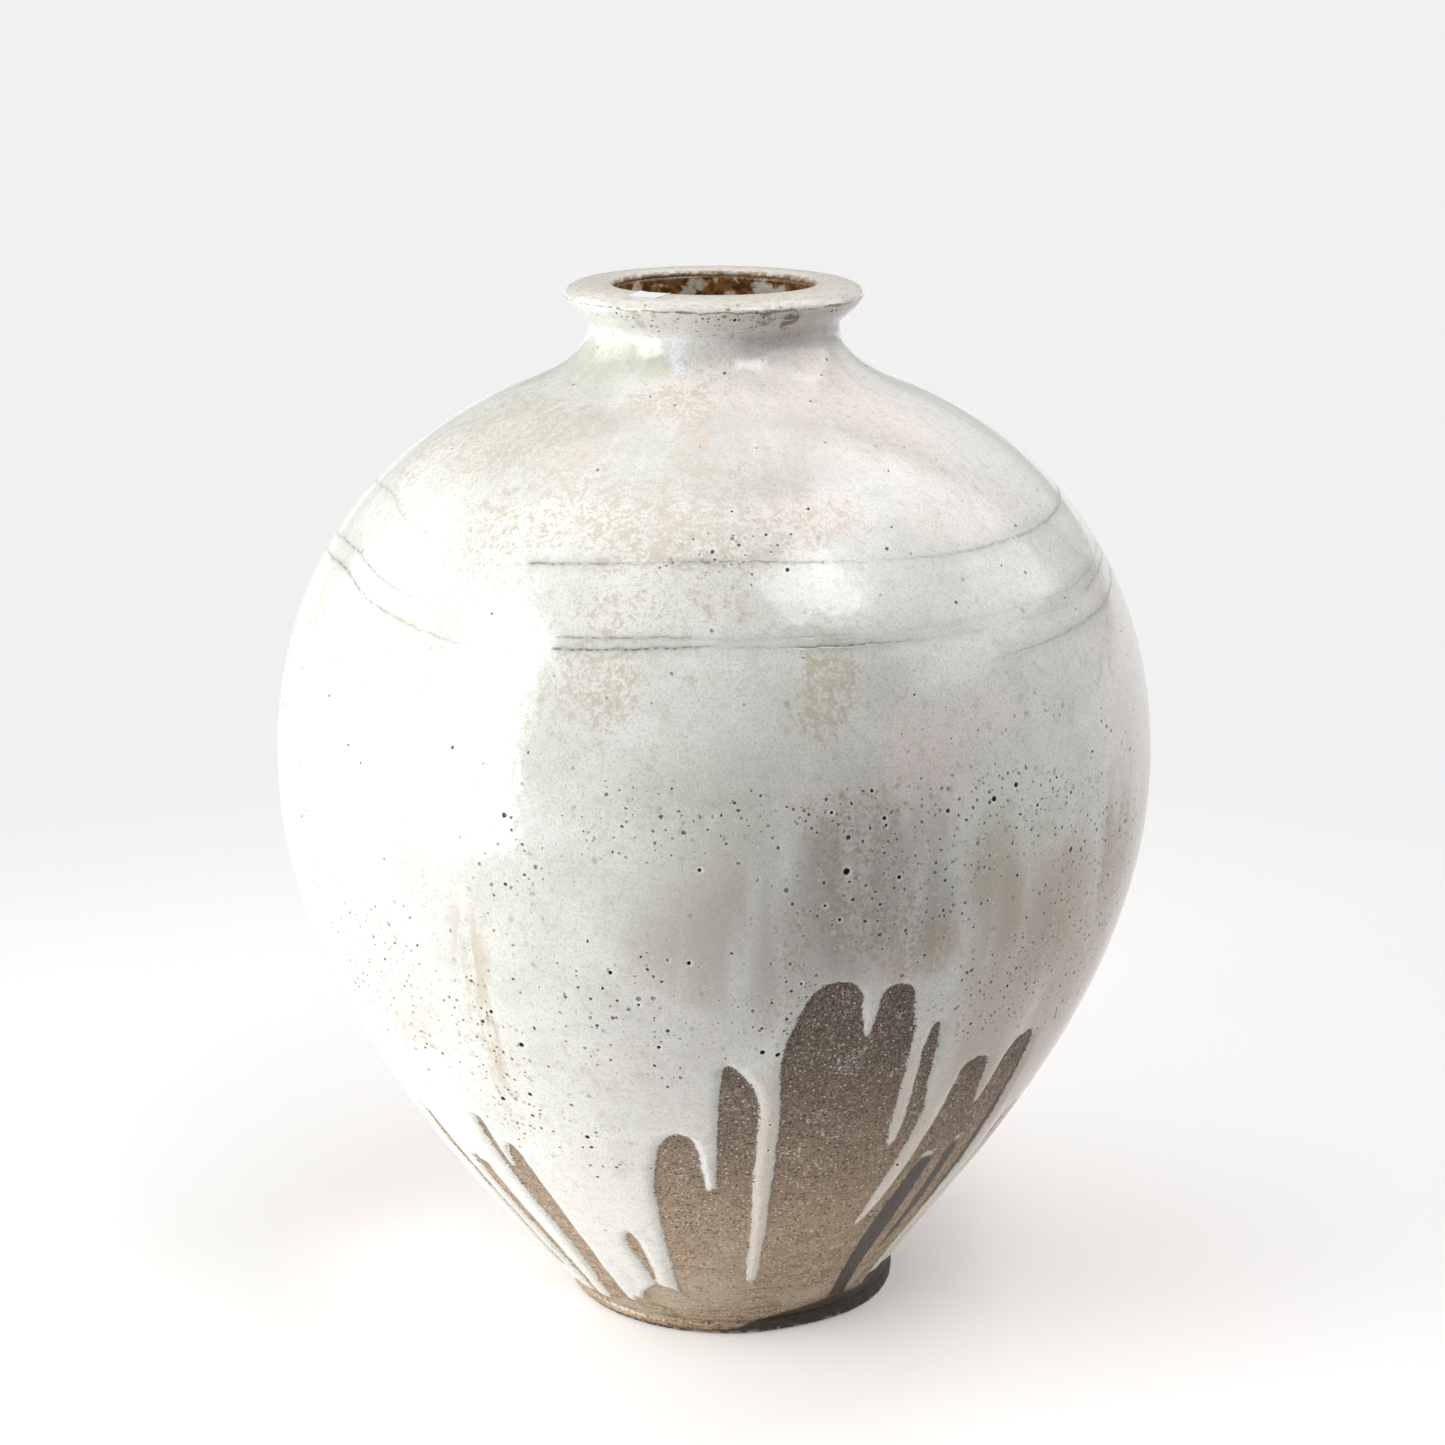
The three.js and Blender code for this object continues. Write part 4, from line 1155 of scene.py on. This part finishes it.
# Each stain: the tint that it fills, how much of it shows at most, and its colour
# The bright stain is partly painted light, and the blush is pale enough to be painted light on the neck under
# the rim; the smoke is partly painted shade, and the shade stain is painted shade
STAINS = [
    ("pale_and_painted_light", 0.9, "#ebebe6"), ("blush_and_painted_light", 0.85, "#efe3de"), ("cream", 0.85, "#d9cdbd"),
    ("sage", 0.9, "#cacab6"), ("smoke_and_painted_shade", 0.9, "#a9a49d"), ("sand", 0.9, "#bfae9d"),
    ("shade", 0.4, "#aeb0a8"), ("milk", 0.9, "#eef2f8"),
]


def run_glaze(tree, position, sheets, flow, marks):
    cloud = {
        name: add(tree, NOISE, {"Vector": position, "Scale": per(size), "Detail": detail, "Roughness": 0.62})
        for name, (size, detail) in GLAZE_CLOUDS.items()
    }
    relief = add(tree, MATH, {0: cloud["swell"], 1: 0.25}, operation="MULTIPLY")
    relief = add(tree, MATH, {0: cloud["fine"], 1: 0.04, 2: relief}, operation="MULTIPLY_ADD")
    glaze = {"colour": linear("#d9d9d2"), "rough": 0.12, "relief": relief}
    lay(tree, glaze, 1.0, (cloud["broad"], 0.35, 0.65), colour="#e4e4de")
    for name, most, hex_colour in STAINS:
        lay(tree, glaze, most, (marks[name], 0.0, 1.0), (sheets, 0.15, 0.55), colour=hex_colour)
    lay(tree, glaze, 0.4, (cloud["patchy"], 0.48, 0.72), colour="#bebbb0", rough=0.22)
    lay(tree, glaze, 0.4, (cloud["grain"], 0.42, 0.75), colour="#96958d")

    fleck = {"colour": linear("#c0b69e")}
    lay(tree, fleck, 1.0, (marks["peach"], 0.0, 1.0), colour="#cdbba9")
    lay(tree, fleck, 1.0, (marks["smoke_and_painted_shade"], 0.0, 1.0), colour="#a09081")
    specks = add(tree, MATH, {0: cloud["patchy"], 1: 0.7, 2: cloud["fine"]}, operation="MULTIPLY_ADD")
    specks = add(tree, MATH, {0: marks["mottle"], 1: 0.3, 2: specks}, operation="MULTIPLY_ADD")
    lay(tree, glaze, 0.66, (specks, 1.06, 1.22), colour=fleck["colour"])
    lay(tree, glaze, 0.6, (flow, 0.46, 0.62), (marks["streaked"], 0.05, 0.9), colour="#b8a68a")
    return glaze


print("stains:", len(STAINS))

# %% [markdown]
# The glaze lies thin in the potter's grooves, so they show as fine broken grey lines, brown where they are
# deepest, in a soft grey shadow. Noise moves each line up and down by a fraction of a millimetre.

# %% White glaze: incised lines
# Noise is a half on the mean, so the line lies where its gap and twice this times the noise add up to this
LINE_MIDDLE = 0.8
# Each shadow of a line: how much of it shows, half its width, and its colour
LINE_SHADOWS = [(0.32, 4.5, "#a3a69e"), (0.4, 1.3, "#84867a")]
LINE_OUTER, LINE_INNER = 0.5, 0.1


def groove(tree, glaze, unrolled):
    wobble, worn = (
        add(tree, NOISE, {"Vector": unrolled, "Scale": per(size), "Detail": 3.0}) for size in (5, 2.5))
    for line in INCISED_LINES:
        gap, dark = (
            add(tree, MARK, out="Fac", attribute_name=f"{line}_line_{end}") for end in ("gap", "dark"))
        gap = add(tree, MATH, {0: wobble, 1: 2 * LINE_MIDDLE, 2: gap}, operation="MULTIPLY_ADD")
        for most, half, hex_colour in LINE_SHADOWS:
            lay(tree, glaze, most, (gap, LINE_MIDDLE - half, LINE_MIDDLE),
                (gap, LINE_MIDDLE + half, LINE_MIDDLE), (dark, 0.0, 1.0), colour=hex_colour)
        ink = {"colour": linear("#5e5e55")}
        lay(tree, ink, 1.0, (dark, 0.8, 1.3), colour="#5a4725")
        below = (gap, LINE_MIDDLE - LINE_OUTER, LINE_MIDDLE - LINE_INNER)
        above = (gap, LINE_MIDDLE + LINE_OUTER, LINE_MIDDLE + LINE_INNER)
        lay(tree, glaze, 0.75, below, above, (dark, 0.0, 1.1), (worn, 0.38, 0.6),
            colour=ink["colour"], relief=-0.1)


print(f"incised lines are up to {2 * LINE_OUTER} mm wide")

# %% [markdown]
# Gas that broke through the glaze left pinholes: tiny open ones, black inside with a pale lip, larger ones,
# and grey ones that healed over. The black inside is partly the dark body and partly painted shade in the
# hole, and the pale lip is a painted highlight on its rim. Each kind is a field of scattered cells, and
# where the glaze is pitted more of the cells hold a pinhole. The cells are shaken a little, so that the
# holes aren't round. The large pits, which are cut into the mesh, get the same black inside, partly painted
# shade, and pale lip, a painted highlight.

# %% White glaze: pinholes
# Each kind: cell size, share of cells where fully pitted, share elsewhere, radius as a share of the cell
OPEN_PINHOLES = [(2.2, 0.95, 0.015, 0.25), (5.0, 0.7, 0.015, 0.15)]
HEALED_PINHOLES = [(3.6, 0.6, 0.01, 0.32)]
SHAKE, SHAKE_SIZE = 0.9, 0.7


def pinholes(tree, glaze, position, marks):
    shake = add(tree, NOISE, {"Vector": position, "Scale": per(SHAKE_SIZE), "Detail": 1.0}, out="Color")
    shaken = add(tree, "ShaderNodeVectorMath", {0: shake, 1: (SHAKE * MM,) * 3, 2: position},
                 operation="MULTIPLY_ADD")
    for kinds, healed in ((HEALED_PINHOLES, True), (OPEN_PINHOLES, False)):
        for size, pitted_share, stray_share, radius in kinds:
            cells = add(tree, CELLS, {"Vector": shaken, "Scale": per(size)}, out="Distance")
            chance = add(tree, "ShaderNodeSeparateColor", {0: cells.node.outputs["Color"]})
            green, blue = (chance.node.outputs[name] for name in ("Green", "Blue"))
            growth = add(tree, MATH, {0: green, 1: 0.9, 2: 0.5}, operation="MULTIPLY_ADD")
            depth = add(tree, MATH, {0: blue, 1: 0.6, 2: 0.4}, operation="MULTIPLY_ADD")
            cells = add(tree, MATH, {0: cells, 1: growth}, operation="DIVIDE")
            share = add(tree, MATH, {0: marks["pitted"], 1: pitted_share, 2: stray_share},
                        operation="MULTIPLY_ADD")
            held = (add(tree, MATH, {0: chance, 1: share}, operation="LESS_THAN"), 0.0, 1.0)
            if healed:
                lay(tree, glaze, 0.5, (cells, 1.1 * radius, 0.3 * radius), held, colour="#83877e")
                continue
            # A pale ring round each open pinhole: a painted highlight on its rim
            lay(tree, glaze, 0.3, (cells, 1.9 * radius, 1.1 * radius), held, colour="#f0ede6")
            # Black inside: partly the dark body, partly painted shade in the hole
            lay(tree, glaze, depth, (cells, 1.1 * radius, 0.7 * radius), held, colour="#241d16",
                rough=0.8, relief=-0.3)
    lip = add(tree, MATH, {0: shake, 1: 0.6, 2: marks["pit_gap"]}, operation="MULTIPLY_ADD")
    # The large pits: a painted highlight round the lip, and black inside, partly painted shade
    lay(tree, glaze, 0.5, (lip, 1.4, 0.5), colour="#f0ede6")
    lay(tree, glaze, 1.0, (lip, 0.4, 0.1), colour="#1f1a15", rough=0.85)


print("kinds of pinhole:", len(HEALED_PINHOLES) + len(OPEN_PINHOLES))

# %% [markdown]
# The rim is handled most: its top is beige and scratched along its rings, its sharp corner is worn to a
# thin broken brown line, smears run down from it, and at the mouth the iron liner bleeds through as an
# ochre edge.

# %% White glaze: worn rim
def wear_rim(tree, glaze, position, unrolled, marks):
    along_ring = add(tree, STRETCH, {"Vector": unrolled, "Scale": (0.06, 0.06, 1)})
    scratches, wander, worn, blotches = (
        add(tree, NOISE, {"Vector": space, "Scale": per(size), "Detail": 3.0})
        for space, size in ((along_ring, 0.8), (along_ring, 1.8), (position, 4), (position, 2)))
    lay(tree, glaze, 0.6, (marks["from_arris"], 0.3, 2.2), colour="#d3ccc0", rough=0.3)
    lay(tree, glaze, 0.45, (marks["from_arris"], 0.6, 2.0), (scratches, 0.52, 0.68), colour="#98928a")
    lay(tree, glaze, 0.45, (marks["from_arris"], 0.6, 2.0), (blotches, 0.48, 0.7), colour="#b8ab98")
    ink = {"colour": linear("#5b5346")}
    lay(tree, ink, 1.0, (marks["worn_side"], 0.0, 1.0), colour="#8d6438")
    corner = add(tree, MATH, {0: wander, 1: 2.0, 2: marks["from_arris"]}, operation="MULTIPLY_ADD")
    lay(tree, glaze, 0.8, (corner, 0.72, 0.97), (corner, 1.28, 1.03), (worn, 0.38, 0.52),
        colour=ink["colour"])
    lay(tree, glaze, 0.85, (marks["smear"], 0.0, 0.8), (blotches, 0.34, 0.54), colour="#6f5b3f")
    lay(tree, glaze, 0.85, (marks["mouth"], 0.72, 0.95), (blotches, 0.36, 0.56), colour="#93682f")


print("worn sides of the rim:", len(WORN_SIDES))

# %% [markdown]
# The runs end in a ragged edge: the glaze turns thin, grey and greenish over a millimetre or two, and then
# the clay shows. All of these steps, one after the other, make the white glaze.

# %% White glaze: ragged end, and the whole finish
RAGGED_MIDDLE = 1.9


def white_glaze():
    material, tree, shader = new_finish("feldspar_glaze_poured")
    position = add(tree, PLACE, out="Object")
    unrolled = add(tree, MARK, out="Vector", attribute_name="unrolled")
    marks = {
        name: add(tree, MARK, out="Fac", attribute_name=name)
        for name in (*PATCHES, "edge", "pit_gap", "from_arris", "worn_side", "mouth")
    }
    down_wall = add(tree, STRETCH, {"Vector": unrolled, "Scale": (1, 1, 0.16)})
    sheets, flow = (
        add(tree, NOISE, {"Vector": down_wall, "Scale": per(size), "Detail": detail, "Roughness": 0.6})
        for size, detail in ((15, 2.0), (6, 4.0)))
    glaze = run_glaze(tree, position, sheets, flow, marks)
    groove(tree, glaze, unrolled)
    pinholes(tree, glaze, position, marks)
    wear_rim(tree, glaze, position, unrolled, marks)

    frayed = add(tree, NOISE, {"Vector": position, "Scale": per(0.9), "Detail": 4.0})
    edge = add(tree, MATH, {0: frayed, 1: 2 * RAGGED_MIDDLE, 2: marks["edge"]}, operation="MULTIPLY_ADD")
    lay(tree, glaze, 0.5, (edge, RAGGED_MIDDLE + 1.8, RAGGED_MIDDLE + 0.2), colour="#c3c9c1", rough=0.25)
    clay = clay_ground(tree, position)
    lay(tree, glaze, 1.0, (edge, RAGGED_MIDDLE + 0.12, RAGGED_MIDDLE - 0.12), colour=clay["colour"],
        rough=clay["rough"], relief=clay["relief"])
    fire(tree, shader, glaze, 1.5)
    return material


glaze_finish = white_glaze()
print(f"{glaze_finish.name}: {len(glaze_finish.node_tree.nodes)} nodes")

# %% [markdown]
# Iron glaze, swilled round and poured out. To the eye it is a glossy dark brown with black flecks, soft
# cream and grey splashes with an ochre edge, and an orange line where it breaks over the lip.


# %% Brown liner
def iron_liner():
    material, tree, shader = new_finish("iron_glaze_swilled")
    position = add(tree, PLACE, out="Object")
    splash, lip = (add(tree, MARK, out="Fac", attribute_name=name) for name in ("splash", "lip"))
    pools, ripples, flecks = (
        add(tree, NOISE, {"Vector": position, "Scale": per(size), "Detail": 4.0}) for size in (4, 2, 0.9))
    relief = add(tree, MATH, {0: ripples, 1: 0.35}, operation="MULTIPLY")
    brown = {"colour": linear("#54391f"), "rough": 0.2, "relief": relief}
    lay(tree, brown, 1.0, (pools, 0.38, 0.66), colour="#866239", rough=0.3)
    lay(tree, brown, 0.7, (flecks, 0.52, 0.66), colour="#2a1c11")
    drops = add(tree, MATH, {0: ripples, 1: 1.8, 2: splash}, operation="MULTIPLY_ADD")
    lay(tree, brown, 0.8, (drops, 0.95, 1.4), colour="#9a6c35")
    lay(tree, brown, 0.9, (drops, 1.25, 1.8), colour="#cfc9bd")
    lay(tree, brown, 0.8, (lip, 0.7, 0.95), (flecks, 0.4, 0.6), colour="#b98748")
    fire(tree, shader, brown, 1.52)
    return material


liner_finish = iron_liner()
print(f"{liner_finish.name}: {len(liner_finish.node_tree.nodes)} nodes")

# %% [markdown]
# Uncoated paper, cut and pasted. To the eye it is a cool matt white with a faint fibre.


# %% Label paper
def label_paper():
    material, tree, shader = new_finish("uncoated_paper_pasted")
    position = add(tree, PLACE, out="Object")
    drawn_out = add(tree, STRETCH, {"Vector": position, "Scale": (0.3, 1, 1)})
    fibre = add(tree, NOISE, {"Vector": drawn_out, "Scale": per(0.4), "Detail": 3.0})
    relief = add(tree, MATH, {0: fibre, 1: 0.02}, operation="MULTIPLY")
    paper = {"colour": linear("#d2d2da"), "rough": 0.7, "relief": relief}
    lay(tree, paper, 1.0, (fibre, 0.3, 0.7), colour="#dedee4", rough=0.8)
    fire(tree, shader, paper, 1.45)
    return material


paper_finish = label_paper()
print(f"{paper_finish.name}: {len(paper_finish.node_tree.nodes)} nodes")

# %% [markdown]
# ## Dressing the jar
# Each fine piece takes its finish and stands for the coarse solid under it. The upper wall and the neck are
# wholly covered by glaze inside and out, so their solids stay, in the same clay.

# %% Assign finishes and tie the pieces to the frame
for piece, finish, slot, node in [
    (white_coat, glaze_finish, "white_glaze", "outer_glaze"),
    (clay_wall, clay_finish, "clay", "lower_wall"),
    (clay_base, clay_finish, "clay", "base_slab"),
    (brown_liner, liner_finish, "brown_glaze", "inner_glaze"),
    (rim_paper, paper_finish, "label_paper", "rim_label"),
]:
    piece.data.materials.append(finish)
    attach(piece, "root")
    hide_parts(node)
for node in ("upper_wall", "neck_and_rim"):
    for slot in frame["nodes"][node].material_slots:
        slot.material = clay_finish
print("pieces dressed")

# %% [markdown]
# ## Floor, light and camera
# The jar stands on a white studio sweep. Two flat discs do the same from every side: a sheet of paper that
# takes the shadow and throws light up at the jar, and under it a wide backdrop that glows evenly, so that
# no horizon shows. The paper thins out with distance from the jar. It also glows faintly, which lightens its
# shadows, and round the foot on the left it glows more, a painted pool of light where the light from the
# left would pool. The backdrop shows to the eye and in the glaze, but it doesn't light the jar, because in
# the studio it was far away.


# %% Floor
DISC_SIDES = 96


def disc(name, radius, height):
    bm = bmesh.new()
    bmesh.ops.create_circle(bm, cap_ends=True, segments=DISC_SIDES, radius=radius)
    bmesh.ops.translate(bm, verts=bm.verts, vec=(0, 0, height))
    mesh = bpy.data.meshes.new(name)
    bm.to_mesh(mesh)
    bm.free()
    piece = bpy.data.objects.new(name, mesh)
    bpy.context.collection.objects.link(piece)
    return piece


FLOOR_RADIUS, FADE_START = 0.9, 0.15
# The paper's glow: faint all over, and stronger in a painted pool of light round the foot, on the left
LIGHT_POOL = (-0.04, 0.0, 0.0)
POOL_INNER, POOL_OUTER = 0.06, 0.15
POOL_GLOW, PAPER_GLOW = 0.3, 0.1
floor = disc("floor", FLOOR_RADIUS, 0.0)
paper, paper_tree, paper_shader = new_finish("white_studio_paper")
floor_place = add(paper_tree, PLACE, out="Object")
floor_distance = add(paper_tree, "ShaderNodeVectorMath", {0: floor_place}, out="Value", operation="LENGTH")
fading = add(paper_tree, "ShaderNodeMapRange", {0: floor_distance, 1: FADE_START, 2: FLOOR_RADIUS},
             interpolation_type="SMOOTHSTEP")
paper_shader.inputs["Base Color"].default_value = linear("#eceae9")
paper_shader.inputs["Roughness"].default_value = 0.9
paper_shader.inputs["Specular IOR Level"].default_value = 0.1
paper_shader.inputs["Emission Color"].default_value = linear("#ffffff")
from_pool = add(paper_tree, "ShaderNodeVectorMath", {0: floor_place, 1: LIGHT_POOL}, out="Value",
                operation="DISTANCE")
painted_glow = add(paper_tree, "ShaderNodeMapRange",
              {0: from_pool, 1: POOL_INNER, 2: POOL_OUTER, 3: POOL_GLOW, 4: PAPER_GLOW},
              interpolation_type="SMOOTHSTEP")
paper_tree.links.new(painted_glow, paper_shader.inputs["Emission Strength"])
clear = add(paper_tree, "ShaderNodeBsdfTransparent")
sweep = add(paper_tree, "ShaderNodeMixShader", {0: fading, 1: paper_shader.outputs[0], 2: clear})
paper_tree.links.new(sweep, paper_tree.nodes["Material Output"].inputs["Surface"])
floor.data.materials.append(paper)
print(f"floor: {2 * FLOOR_RADIUS} m across")

# %% [markdown]
# The backdrop is one wide disc just under the paper. It only glows, so it needs no light of its own, and it
# fills the picture from every side.

# %% Backdrop
BACKDROP_RADIUS, BACKDROP_DROP = 40.0, 0.002
backdrop = disc("backdrop", BACKDROP_RADIUS, -BACKDROP_DROP)
backdrop.visible_diffuse = False
cloth, cloth_tree = new_finish("white_studio_cloth")[:2]
glow = add(cloth_tree, "ShaderNodeEmission", {"Color": linear("#f1f1f1"), "Strength": 1.0})
cloth_tree.links.new(glow, cloth_tree.nodes["Material Output"].inputs["Surface"])
backdrop.data.materials.append(cloth)
print(f"backdrop: {2 * BACKDROP_RADIUS} m across")

# %% [markdown]
# A tall light stands on the left and makes the broad white reflection down the left of the belly. A smaller
# soft box above on the right gives the highlight on the shoulder. Broad, weaker panels stand for the room:
# on the left, high on the right, overhead and behind, with a low one on the left that lifts the shadow at
# the foot.


# %% Lights
def soft_box(name, middle, target, width, height, radiance):
    """A rectangle of even light; its power follows from its area."""
    light = bpy.data.lights.new(name, "AREA")
    light.shape = "RECTANGLE"
    light.size = width
    light.size_y = height
    light.energy = radiance * math.pi * width * height
    lamp = bpy.data.objects.new(name, light)
    aim = Vector(target) - Vector(middle)
    lamp.matrix_world = Matrix.Translation(middle) @ aim.to_track_quat("-Z", "Y").to_matrix().to_4x4()
    lamp.visible_camera = False
    bpy.context.collection.objects.link(lamp)
    return lamp


soft_box("left_key", (-0.85, -0.530, 0.55), (0.0, -0.530, 0.55), 0.53, 1.10, 6.5)
soft_box("left_fill", (-1.20, 0.20, 0.60), (0.0, 0.20, 0.40), 1.60, 1.20, 1.25)
soft_box("low_left_fill", (-0.80, -0.15, 0.16), (0.0, -0.02, 0.08), 1.00, 0.30, 1.6)
soft_box("overhead", (0.0, 0.30, 2.20), (0.0, 0.30, 0.0), 2.60, 2.00, 1.25)
soft_box("upper_right_box", (0.63, -0.72, 1.68), (0.04, -0.12, 0.31), 0.62, 0.60, 5.4)
soft_box("right_wall", (1.50, 0.0, 1.90), (0.0, 0.0, 0.40), 2.60, 2.20, 2.0)
soft_box("back_wall", (0.0, 1.50, 1.00), (0.0, 0.0, 1.00), 2.40, 1.50, 0.35)
ROOM_STRENGTH = 0.03
room = bpy.data.worlds.new("white_room")
bpy.context.scene.world = room
room.use_nodes = True
room_light = room.node_tree.nodes["Background"]
room_light.inputs["Color"].default_value = linear("#f7f7f9")
room_light.inputs["Strength"].default_value = ROOM_STRENGTH
print("lights placed")

# %% [markdown]
# The camera stands a little above the rim and looks down on the jar with a short telephoto lens, as in a
# catalogue picture. Its place was worked out from the jar's outline and the ellipses of its rim and foot.

# %% Camera
CAMERA_PLACE = (3.2 * MM, -1100 * MM, 537.7 * MM)
CAMERA_PITCH = 15.67
FOCAL_PIXELS, IMAGE_PIXELS = 2946.8, 1445
SENSOR = 36.0
camera_data = bpy.data.cameras.new("camera")
camera_data.sensor_width = SENSOR
camera_data.lens = SENSOR * FOCAL_PIXELS / IMAGE_PIXELS
camera = bpy.data.objects.new("camera", camera_data)
camera.location = CAMERA_PLACE
camera.rotation_euler = (math.radians(90 - CAMERA_PITCH), 0, 0)
bpy.context.collection.objects.link(camera)
bpy.context.scene.camera = camera
bpy.context.scene.view_settings.view_transform = "Standard"
print(f"lens {camera_data.lens:.1f} mm")
